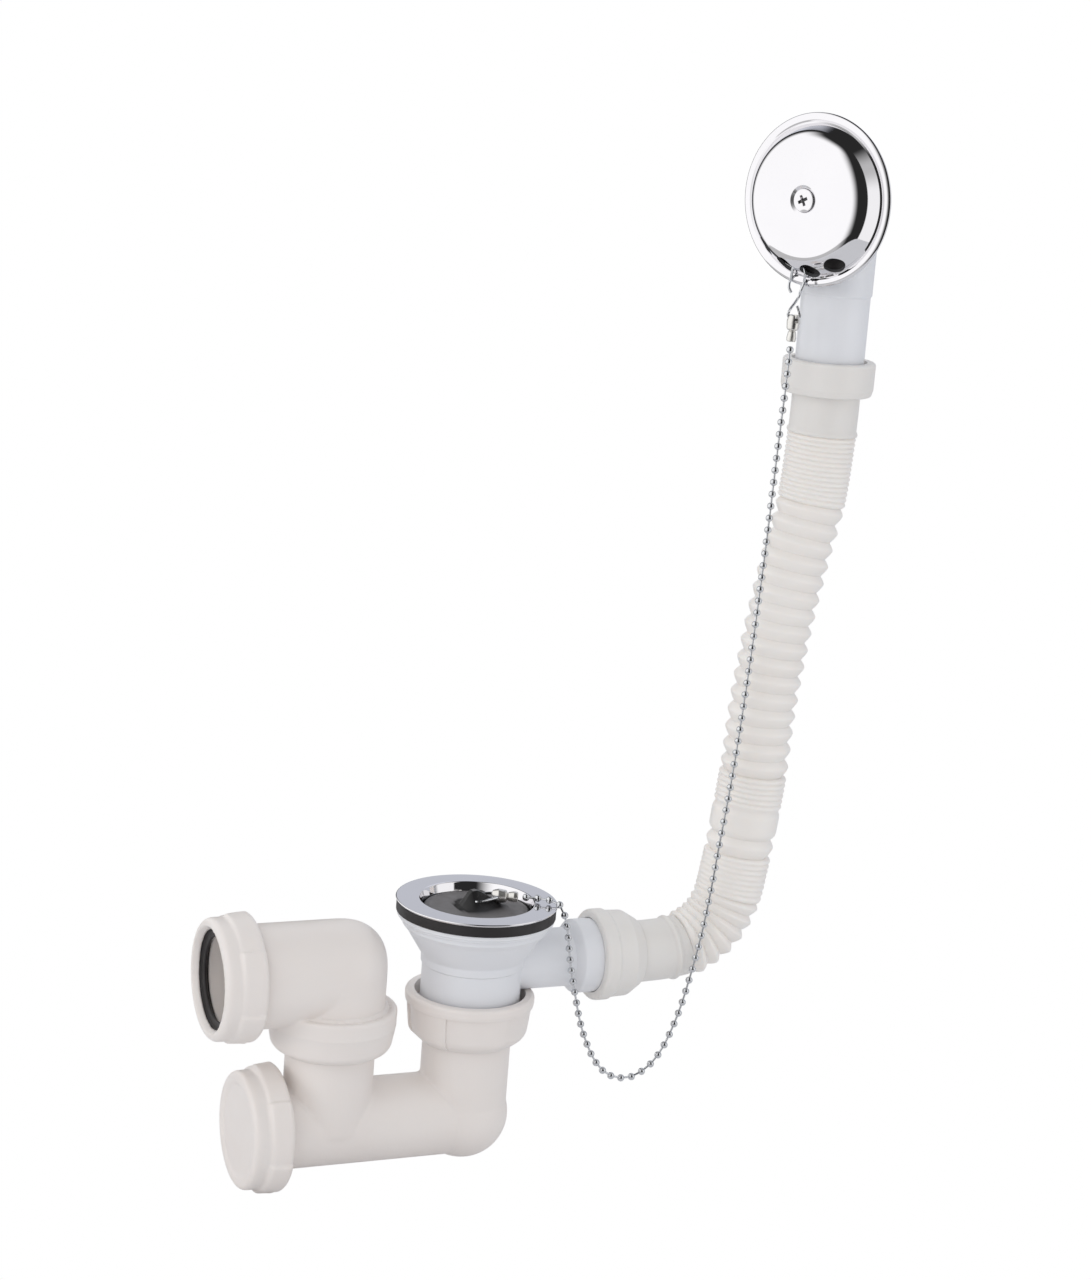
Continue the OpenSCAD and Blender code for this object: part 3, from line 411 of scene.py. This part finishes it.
def overflow_cover():
    face = [(RECESS_R + (FACE_R - RECESS_R) * u, DOME_H - 0.2 - u * u, 0)
            for u in np.linspace(0.06, 0.7, 14)]
    bead = [(DOME_R + 0.9 + 3.6 * u, SHEET + 0.2 + 2.4 * u * (1 - u) - 0.3 * u, 0)
            for u in np.linspace(0.06, 0.97, 12)]
    outline = rounded(
        [(RECESS_R - 2, DOME_H - RECESS_T, 0.3), (RECESS_R, DOME_H - 0.2, 0.5)] + face
        + [(FACE_R, DOME_H - 1.2, 9), (DOME_R, SHEET + 0.8, 0.3), (DOME_R + 0.8, SHEET + 0.2, 0.15)]
        + bead + [(COVER_R, SHEET - 0.4, 0.1), (COVER_R, 0, 0.1), (DOME_R - SHEET, 0, 0.6), (FACE_R - SHEET, DOME_H - 1.2 - SHEET, 8.2),
           (RECESS_R - 0.4, DOME_H - SHEET - 0.4, 0.3),
           (RECESS_R - 1.6, DOME_H - RECESS_T - SHEET, 0.3),
           (2.9, DOME_H - RECESS_T - SHEET, 0), (2.9, DOME_H - RECESS_T, 0)], 12)
    verts, faces = lathe(outline, 288)
    # A half-round nib on the rim, at the bottom
    t = math.radians(NIB_TURN)
    nib = Vector((math.sin(t), -math.cos(t))) * (COVER_R - 1.7)
    for i, (x, y, h) in enumerate(verts):
        away = (Vector((x, y)) - nib).length / 2.6
        if away < 1 and h > 0.4:
            verts[i] = (x, y, h + 0.9 * (1 - away ** 4))
    cover = new_object("pressed_cover", on_head(verts), faces, 40)
    poles = []
    for turn in HOLE_TURNS:
        t = math.radians(turn)
        out = Vector((math.sin(t), -math.cos(t), 0))
        axis = out * math.cos(WALL_LEAN) + Vector((0, 0, math.sin(WALL_LEAN)))
        verts, faces = rod(HOLE_R, -3, 3)
        middle = out * ((DOME_R + FACE_R) / 2 + 0.3) + Vector((0, 0, DOME_H * 0.46))
        cut(cover, new_object("hole", on_head(placed(verts, middle, axis)), faces))
        poles.append([Vector(point) for point in on_head([middle, middle + axis])])
    shade(cover, 40)
    cover.data.materials.append(MATERIALS["chrome"])
    cover.data.materials.append(MATERIALS["recess"])
    # The walls of the punched holes take the dark recess material: painted shade
    for face in cover.data.polygons:
        for start, end in poles:
            v, way = face.center / MM - start, end - start
            if abs((v - v.dot(way) * way).length - HOLE_R) < 0.06 and abs(face.normal.dot(way)) < 0.1:
                face.material_index = 1
    return cover


def cover_screw():
    """Raised countersunk head with a cross recess, whose inside is painted dark as shade."""
    seat = DOME_H - RECESS_T + 0.05
    outline = rounded([(0.01, SCREW_END, 0), (SCREW_R, SCREW_END, 0.4), (SCREW_R, seat, 0),
                       (4.2, seat, 0.2), (4.95, seat + 0.5, 0.15), (4.75, seat + 0.85, 0.3),
                       (3.2, seat + 1.3, 4), (0.01, seat + 1.42, 0)], 8)
    verts, faces = lathe(outline, 96)
    screw = new_object("cross_screw", on_head(verts), faces, 40)
    for turn in (28, 118):
        arm = [(x * w, y * d, seat + h) for w, d, h in ((1.3, 0.42, 0.1), (2.9, 0.8, 1.9))
               for x, y in ((-1, -1), (1, -1), (1, 1), (-1, 1))]
        t = math.radians(turn)
        verts = [(x * math.cos(t) - y * math.sin(t), x * math.sin(t) + y * math.cos(t), h)
                 for x, y, h in arm]
        faces = [(0, 1, 2, 3), (4, 5, 6, 7)] + [(k, (k + 1) % 4, 4 + (k + 1) % 4, 4 + k)
                                                for k in range(4)]
        cut(screw, new_object("arm", on_head(verts), faces))
    shade(screw, 40)
    screw.data.materials.append(MATERIALS["chrome"])
    screw.data.materials.append(MATERIALS["recess"])
    # Faces inside the cross recess are painted dark: painted shade
    for face in screw.data.polygons:
        v = face.center / MM - HEAD_CENTRE
        up = v.dot(HEAD_OUT)
        if seat + 0.05 < up < seat + 1.05 and (v - up * HEAD_OUT).length < 2.9:
            face.material_index = 1
    return screw


# Waste's rim and plug

PLUG_R = 23.2
PLUG_T = 6
PLUG_TOP = -2.4
LUG_AT = (2, -0.5)
LUG_H = 7.8
WASTE_SCREW_R = 3.3


def waste_rim():
    """Pressed rim and dish with a flared wall, and the slots in the dish's floor."""
    outline = rounded([
        (0.01, -13.5, 0), (22.9, -13.5, 2), (25.5, -1.5, 1), (26.3, 0, 0.5), (34.5, 0, 0.1),
        (35, 0.7, 0.3), (34.8, 1.15, 0.35), (24.9, 1.2, 0.9), (23.6, -2.8, 1.2),
        (21.7, -11.9, 2), (0.01, -11.9, 0)], 10)
    verts, faces = lathe(outline, 240)
    rim = new_object("pressed_rim", placed(verts, (0, 0, 0), (0, 0, 1), (1, 0, 0)), faces, 40)
    verts, faces = rod(4, -15, -10)
    for turn in range(0, 360, 60):
        t = math.radians(turn)
        at = (12.6 * math.cos(t), 12.6 * math.sin(t), 0)
        cut(rim, new_object("slot", placed(verts, at, (0, 0, 1), (1, 0, 0)), faces))
    cut(rim, new_object("screw_hole", rod(WASTE_SCREW_R, -15, -10)[0], faces))
    shade(rim, 40)
    return rim


def lug_height(x, y):
    """Height of the plug's moulded lug over its top: a tent whose flanks flare out to a foot."""
    u, v = x - LUG_AT[0], abs(y - LUG_AT[1])
    ridge = LUG_H * np.interp(u, (-11.5, -9.5, -6.4, -5.2, -3.2, -1.6, 4, 9, 12),
                              (0, 0.16, 0.8, 0.97, 1, 0.94, 0.52, 0.15, 0))
    spread_out = math.exp(-max(0, v - 1.5) / 4.4) * (1 - min(v / 13, 1) ** 3)
    return ridge * spread_out


def rubber_plug():
    """Disc with a rounded edge and a moulded lug, as one closed skin."""
    sides = 144
    under = rounded([(0.01, PLUG_TOP - PLUG_T, 0), (PLUG_R - 1.9, PLUG_TOP - PLUG_T, 0.8),
                     (PLUG_R, PLUG_TOP, 1), (PLUG_R - 3, PLUG_TOP + 0.3, 1), (14, PLUG_TOP + 0.3, 0)])
    top = [(r, PLUG_TOP + 0.3, 0) for r in np.linspace(19.5, 0.3, 65)]
    verts, faces = lathe([point[:2] for point in under[:-1] + top], sides, False)
    faces += [tuple(range(sides)), tuple(range(len(verts) - sides, len(verts)))]
    crowned = [(x, y, z + (lug_height(x, y) if z > PLUG_TOP else 0)) for x, y, z in verts]
    plug = new_object("rubber_plug", crowned, faces, 60)
    return plug


# Moulded plastic pieces whose inner corners are softened

def softened(node, name, voxel, steps, extra=None):
    """A copy of a solid's mesh with its corners rounded over, as moulded plastic has them."""
    source = frame["nodes"][node]
    obj = bpy.data.objects.new(name, source.data.copy())
    bpy.context.scene.collection.objects.link(obj)
    if extra:
        bm = bmesh.new()
        bm.from_mesh(obj.data)
        bm.from_mesh(extra.data)
        bm.to_mesh(obj.data)
        bm.free()
        bpy.data.objects.remove(extra)
    grid = obj.modifiers.new("grid", "REMESH")
    grid.mode = "VOXEL"
    grid.voxel_size = voxel * MM
    grid.adaptivity = 0
    rounding = obj.modifiers.new("rounding", "SMOOTH")
    rounding.factor = 0.5
    rounding.iterations = steps
    applied(obj)
    obj.data.materials.clear()
    shade(obj, 60)
    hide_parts(node)
    return obj


def iron(obj, centre, near, far, lowest):
    """Smooths a mesh between two distances from a point, and above a height."""
    patch = obj.vertex_groups.new(name="patch")
    for vert in obj.data.vertices:
        away = (vert.co / MM - Vector(centre)).length
        if away > near and vert.co.z / MM > lowest:
            patch.add([vert.index], min(1, max(0, (far - away) / 5)), "REPLACE")
    smooth = obj.modifiers.new("smooth", "SMOOTH")
    smooth.vertex_group = "patch"
    smooth.factor = 0.6
    smooth.iterations = 30
    applied(obj)


TRAP_SPAN = 63
TUBE_Z = -95.5
SHOULDER_R = 27.6
SHOULDER_LOW = -49.8
SHOULDER_TOP = -41.6
SOCKET_R = 22.2


def collar_skirt():
    """Thin skirt that closes the joint between the elbow's collar and the nut under it."""
    outline = [(SHOULDER_R - 3, SHOULDER_LOW - 2), (SHOULDER_R - 0.75, SHOULDER_LOW - 2),
               (SHOULDER_R - 0.05, SHOULDER_LOW + 1), (SHOULDER_R - 3, SHOULDER_LOW + 1)]
    verts, faces = lathe(outline, 96)
    return new_object("skirt", placed(verts, (-TRAP_SPAN, 0, 0), (0, 0, 1)), faces)


def square_the_elbow(obj):
    """Draws the elbow's outer corner out, and its leg to the width of its socket."""
    for vert in obj.data.vertices:
        x, y, z = vert.co / MM
        x, z = x + TRAP_SPAN, z - SOCKET_AXIS_Z
        if x > 0 and z > 0 and Vector((x, y, z)).length > 20.5:
            x, y, z = Vector((x, y, z)) * min(1, SOCKET_R / Vector((x, y, z)).length)
            turn = math.atan2(z, x)
            grow = (math.cos(turn) ** 2.6 + math.sin(turn) ** 2.6) ** (-1 / 2.6)
            x, z = x * grow, z * grow
        elif z + SOCKET_AXIS_Z > SHOULDER_TOP + 0.5:
            if z <= 0 and 19 < math.hypot(x, y) < SOCKET_R + 0.7:
                grow = SOCKET_R / math.hypot(x, y)
                x, y = x * grow, y * grow
            if x <= 0 and SOCKET_R < math.hypot(y, z) < SOCKET_R + 0.7:
                grow = SOCKET_R / math.hypot(y, z)
                y, z = y * grow, z * grow
        vert.co = Vector((x - TRAP_SPAN, y, z + SOCKET_AXIS_Z)) * MM
    iron(obj, (-TRAP_SPAN, 0, SOCKET_AXIS_Z), 20.5, 34, SHOULDER_TOP + 1)


# Materials

def nodes_of(name):
    mat = bpy.data.materials.new(name)
    mat.use_nodes = True
    tree = mat.node_tree
    return mat, tree, tree.nodes["Principled BSDF"]


def noise(tree, scale, detail=3.0, stretch=(1, 1, 1)):
    coords = tree.nodes.new("ShaderNodeTexCoord")
    mapping = tree.nodes.new("ShaderNodeMapping")
    mapping.inputs["Scale"].default_value = stretch
    tex = tree.nodes.new("ShaderNodeTexNoise")
    tex.inputs["Scale"].default_value = scale
    tex.inputs["Detail"].default_value = detail
    tree.links.new(coords.outputs["Object"], mapping.inputs["Vector"])
    tree.links.new(mapping.outputs["Vector"], tex.inputs["Vector"])
    return tex.outputs["Fac"]


def ramp(tree, value, low, high, start=0.3, end=0.7):
    """Colour that runs from low to high as the value does from start to end."""
    node = tree.nodes.new("ShaderNodeValToRGB")
    node.color_ramp.elements[0].position = start
    node.color_ramp.elements[0].color = (*low, 1)
    node.color_ramp.elements[1].position = end
    node.color_ramp.elements[1].color = (*high, 1)
    tree.links.new(value, node.inputs["Fac"])
    return node.outputs["Color"]


def spread(tree, value, low, high):
    node = tree.nodes.new("ShaderNodeMapRange")
    node.inputs["From Min"].default_value = 0.3
    node.inputs["From Max"].default_value = 0.7
    node.inputs["To Min"].default_value = low
    node.inputs["To Max"].default_value = high
    tree.links.new(value, node.inputs["Value"])
    return node.outputs["Result"]


def bump(tree, shader, height, strength, distance):
    node = tree.nodes.new("ShaderNodeBump")
    node.inputs["Strength"].default_value = strength
    node.inputs["Distance"].default_value = distance
    tree.links.new(height, node.inputs["Height"])
    tree.links.new(node.outputs["Normal"], shader.inputs["Normal"])


def plastic(name, low, high, rough, through):
    """Moulded polypropylene: faint clouding, satin skin with a fine grain, a little light inside."""
    mat, tree, shader = nodes_of(name)
    tree.links.new(ramp(tree, noise(tree, 22), low, high), shader.inputs["Base Color"])
    tree.links.new(spread(tree, noise(tree, 140), rough - 0.05, rough + 0.05), shader.inputs["Roughness"])
    shader.inputs["IOR"].default_value = 1.49
    shader.inputs["Subsurface Weight"].default_value = through
    shader.inputs["Subsurface Radius"].default_value = (1.0, 0.9, 0.8)
    shader.inputs["Subsurface Scale"].default_value = 0.002
    bump(tree, shader, noise(tree, 900, 2), 0.06, 0.0004)
    return mat


def plated(name, colour, rough, scratch):
    """Chrome plate over pressed metal, with faint wiping marks."""
    mat, tree, shader = nodes_of(name)
    shader.inputs["Metallic"].default_value = 1
    low = tuple(c * 0.97 for c in colour)
    tree.links.new(ramp(tree, noise(tree, 30), low, colour), shader.inputs["Base Color"])
    tree.links.new(spread(tree, noise(tree, 160), rough * 0.8, rough * 1.3), shader.inputs["Roughness"])
    bump(tree, shader, noise(tree, 60, 4, (1, 8, 1)), scratch, 0.0003)
    return mat


def rubber(name, low, high, rough, grain):
    mat, tree, shader = nodes_of(name)
    shader.inputs["Specular IOR Level"].default_value = 0.35
    tree.links.new(ramp(tree, noise(tree, 60), low, high), shader.inputs["Base Color"])
    tree.links.new(spread(tree, noise(tree, 200), rough - 0.08, rough + 0.08), shader.inputs["Roughness"])
    bump(tree, shader, noise(tree, 1400, 2), grain, 0.0003)
    return mat


def top_lit_rubber(name, dark, pale):
    """Rubber painted lighter where it faces up and darker on its flanks: painted light and shade."""
    mat = rubber(name, dark, pale, 0.48, 0.15)
    tree = mat.node_tree
    shader = tree.nodes["Principled BSDF"]
    # Painted light and shade: the colour runs from dark on the flanks to pale where the surface faces
    # straight up
    geometry = tree.nodes.new("ShaderNodeNewGeometry")
    split = tree.nodes.new("ShaderNodeSeparateXYZ")
    tree.links.new(geometry.outputs["Normal"], split.inputs["Vector"])
    tree.links.new(ramp(tree, split.outputs["Z"], dark, pale, 0.94, 0.999), shader.inputs["Base Color"])
    return mat


def brass():
    mat, tree, shader = nodes_of("brass")
    shader.inputs["Metallic"].default_value = 1
    tree.links.new(ramp(tree, noise(tree, 80), (0.62, 0.44, 0.2), (0.72, 0.54, 0.27)),
                   shader.inputs["Base Color"])
    tree.links.new(spread(tree, noise(tree, 300), 0.22, 0.34), shader.inputs["Roughness"])
    bump(tree, shader, noise(tree, 400, 2, (1, 1, 12)), 0.15, 0.0003)
    return mat


MATERIALS = {
    "chrome": plated("chrome", (0.80, 0.79, 0.81), 0.05, 0.02),
    "chain_steel": plated("chain_steel", (0.66, 0.67, 0.69), 0.16, 0.05),
    "black_rubber": rubber("black_rubber", (0.020, 0.018, 0.018), (0.028, 0.025, 0.026), 0.5, 0.1),
    # The plug's rubber is painted pale on top and dark on its flanks: painted light and shade
    "plug_rubber": top_lit_rubber("plug_rubber", (0.007, 0.0065, 0.007), (0.145, 0.137, 0.138)),
    "body_white": plastic("body_white", (0.765, 0.77, 0.795), (0.79, 0.795, 0.82), 0.34, 0.12),
    "trap_white": plastic("trap_white", (0.815, 0.76, 0.725), (0.845, 0.795, 0.76), 0.38, 0.15),
    # The hose's folds and cuffs are one plastic in a lighter and a darker tone: painted light and shade
    "hose_white": plastic("hose_white", (0.865, 0.825, 0.785), (0.885, 0.85, 0.815), 0.42, 0.5),
    "cuff_white": plastic("cuff_white", (0.77, 0.745, 0.715), (0.79, 0.765, 0.74), 0.42, 0.3),
    "coupling_steel": plated("coupling_steel", (0.76, 0.745, 0.715), 0.3, 0.05),
    "brass": brass(),
    # Dark material for the walls of the cover's holes and the inside of the screw's recess: painted shade
    "recess": rubber("recess", (0.05, 0.05, 0.052), (0.09, 0.09, 0.094), 0.5, 0.1),
}


def paint(obj, slot):
    obj.data.materials.clear()
    obj.data.materials.append(MATERIALS[slot])


def paint_nodes():
    """Each solid takes the material of its slot in the record."""
    for part in frame["record"]["subparts"]:
        obj = frame["nodes"][part["node"]]
        paint(obj, part["material_slot"])
        shade(obj, 32)


# Stage

def floor_and_light():
    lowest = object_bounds()[0].z
    bpy.ops.mesh.primitive_plane_add(size=14, location=(0, 0, lowest - 0.0006))
    floor = bpy.context.object
    floor.name = "floor"
    mat = bpy.data.materials.new("pale_floor")
    mat.use_nodes = True
    tree = mat.node_tree
    tree.nodes.clear()
    out = tree.nodes.new("ShaderNodeOutputMaterial")
    mix = tree.nodes.new("ShaderNodeMixShader")
    path = tree.nodes.new("ShaderNodeLightPath")
    paint_shader = tree.nodes.new("ShaderNodeBsdfDiffuse")
    paint_shader.inputs["Color"].default_value = (0.82, 0.82, 0.83, 1)
    glow = tree.nodes.new("ShaderNodeEmission")
    glow.inputs["Color"].default_value = (1, 1, 1, 1)
    glow.inputs["Strength"].default_value = 1.0
    tree.links.new(path.outputs["Is Camera Ray"], mix.inputs["Fac"])
    tree.links.new(paint_shader.outputs["BSDF"], mix.inputs[1])
    tree.links.new(glow.outputs["Emission"], mix.inputs[2])
    tree.links.new(mix.outputs["Shader"], out.inputs["Surface"])
    floor.data.materials.append(mat)

    world = bpy.data.worlds.new("studio")
    bpy.context.scene.world = world
    world.use_nodes = True
    tree = world.node_tree
    tree.nodes.clear()
    out = tree.nodes.new("ShaderNodeOutputWorld")
    mix = tree.nodes.new("ShaderNodeMixShader")
    path = tree.nodes.new("ShaderNodeLightPath")
    seen = tree.nodes.new("ShaderNodeBackground")
    seen.inputs["Color"].default_value = (1, 1, 1, 1)
    seen.inputs["Strength"].default_value = 1
    fill = tree.nodes.new("ShaderNodeBackground")
    fill.inputs["Color"].default_value = (0.95, 0.97, 1, 1)
    fill.inputs["Strength"].default_value = 0.66
    tree.links.new(path.outputs["Is Camera Ray"], mix.inputs["Fac"])
    tree.links.new(fill.outputs["Background"], mix.inputs[1])
    tree.links.new(seen.outputs["Background"], mix.inputs[2])
    tree.links.new(mix.outputs["Shader"], out.inputs["Surface"])

    soft_box("key", (-1.6, -1.1, 1.4), (0.04, 0, 0.1), 1.6, 8, (1, 0.985, 0.97))
    soft_box("front", (-0.35, -1.9, 0.1), (0.02, 0, -0.06), 1.5, 6.5, (1, 0.985, 0.975))
    soft_box("fill", (1.7, -1.0, 0.1), (0.1, 0, 0), 1.4, 5.2, (0.97, 0.98, 1))
    soft_box("side", (-2.0, 0.1, 0), (-0.1, 0, -0.08), 1.2, 8, (1, 0.99, 0.98))
    soft_box("back", (0.2, 1.8, 1.3), (0.05, 0, 0.1), 1.8, 9, (1, 1, 1))


def soft_box(name, at, aim, size, power, colour):
    data = bpy.data.lights.new(name, "AREA")
    data.shape = "SQUARE"
    data.size = size
    data.energy = power
    data.color = colour
    obj = bpy.data.objects.new(name, data)
    bpy.context.scene.collection.objects.link(obj)
    obj.location = at
    obj.visible_glossy = False
    obj.rotation_euler = (Vector(aim) - Vector(at)).to_track_quat("-Z", "Y").to_euler()
    return obj


def fade(value, start, end):
    """0 before the start, 1 after the end, and a soft step between."""
    t = min(max((value - start) / (end - start), 0), 1)
    return t * t * (3 - 2 * t)


def room_glow(turn, rise):
    """Colour of the room that the chrome mirrors, by direction from the cover in degrees."""
    roof = 1 - fade(rise, 46, 72)
    white_wall = 1.22 * fade(turn, 98, 124) * (1 - fade(turn, 202, 242)) * fade(rise, -33, -30)
    bright_panel = 1.1 * fade(turn, 286.5, 288.5) * (1 - fade(turn, 330, 345)) * fade(rise, -47, -45)
    bright_panel *= 1 - 0.45 * fade(rise, 15, 42)
    far_end = (0.64 + 0.2 * fade(rise, 2, 20)) * (1 - fade(turn, 86, 90) + fade(turn, 335, 350))
    far_end *= fade(rise, -47, -40)
    on_the_left = fade(turn, 104, 112) * (1 - fade(turn, 205, 235))
    ground = 0.6 * max(1 - fade(rise, -48, -45), on_the_left * (1 - fade(rise, -33, -30)))
    return [max(0.026, (white_wall + bright_panel + far_end * tint) * roof, ground)
            for tint in (0.94, 0.97, 1.06)]


def mirrored_room():
    """A dome round the object that only shows in reflections, as the studio does in the chrome."""
    turns = np.arange(0, 360, 1.5)
    rises = np.arange(-90, 91, 1.5)
    verts = []
    glow = []
    for rise in rises:
        for turn in turns:
            t, e = math.radians(turn), math.radians(rise)
            verts.append(ROOM_R * Vector((math.cos(e) * math.cos(t), math.cos(e) * math.sin(t), math.sin(e))))
            glow.extend((*room_glow(turn, rise), 1))
    n = len(turns)
    faces = [(i * n + k, i * n + (k + 1) % n, (i + 1) * n + (k + 1) % n, (i + 1) * n + k)
             for i in range(len(rises) - 1) for k in range(n)]
    mesh = bpy.data.meshes.new("room")
    mesh.from_pydata(verts, [], faces)
    mesh.attributes.new("glow", "FLOAT_COLOR", "POINT").data.foreach_set("color", glow)
    room = bpy.data.objects.new("room", mesh)
    bpy.context.scene.collection.objects.link(room)
    room.location = HEAD_CENTRE * MM
    room.visible_camera = False
    room.visible_diffuse = False
    room.visible_shadow = False
    mat = bpy.data.materials.new("room")
    mat.use_nodes = True
    tree = mat.node_tree
    tree.nodes.clear()
    out = tree.nodes.new("ShaderNodeOutputMaterial")
    level = tree.nodes.new("ShaderNodeAttribute")
    level.attribute_name = "glow"
    light = tree.nodes.new("ShaderNodeEmission")
    tree.links.new(level.outputs["Color"], light.inputs["Color"])
    tree.links.new(light.outputs["Emission"], out.inputs["Surface"])
    mesh.materials.append(mat)


bpy.context.scene.view_settings.view_transform = "Standard"
make_camera()

chain, chain_line = ball_chain()
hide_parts("ball_chain")
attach(chain, "root")

paint_nodes()
paint(chain, "chain_steel")

hose = bellows_hose()
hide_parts("overflow_hose")
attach(hose, "root")

seal = lip_seal()
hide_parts("outlet_seal")
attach(seal, "root")
paint(seal, "black_rubber")

cover = overflow_cover()
rim = waste_rim()
paint(rim, "chrome")
for piece, node in ((cover, "overflow_cover"), (cover_screw(), "cover_screw"), (rim, "waste_flange")):
    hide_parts(node)
    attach(piece, "root")

plug = rubber_plug()
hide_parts("plug")
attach(plug, "root")
paint(plug, "plug_rubber")

elbow = softened("outlet_elbow", "elbow_moulding", 0.55, 5, collar_skirt())
square_the_elbow(elbow)
trap = softened("trap_body", "trap_moulding", 0.7, 6)
iron(trap, (-TRAP_SPAN, -22, TUBE_Z), 0, 9, TUBE_Z - 9)
for piece in (trap, elbow,
              softened("outlet_nut", "nut_moulding", 0.6, 5),
              softened("cleaning_cap", "cap_moulding", 0.6, 5)):
    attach(piece, "root")
    paint(piece, "trap_white")

nodes = frame["nodes"]
for node in ("plug_coupling", "hook_coupling"):
    paint(nodes[node], "coupling_steel")
# The hose's nuts take the cuffs' darker tone: painted shade
for node in ("hose_nut", "overflow_nut"):
    paint(nodes[node], "cuff_white")

floor_and_light()
mirrored_room()
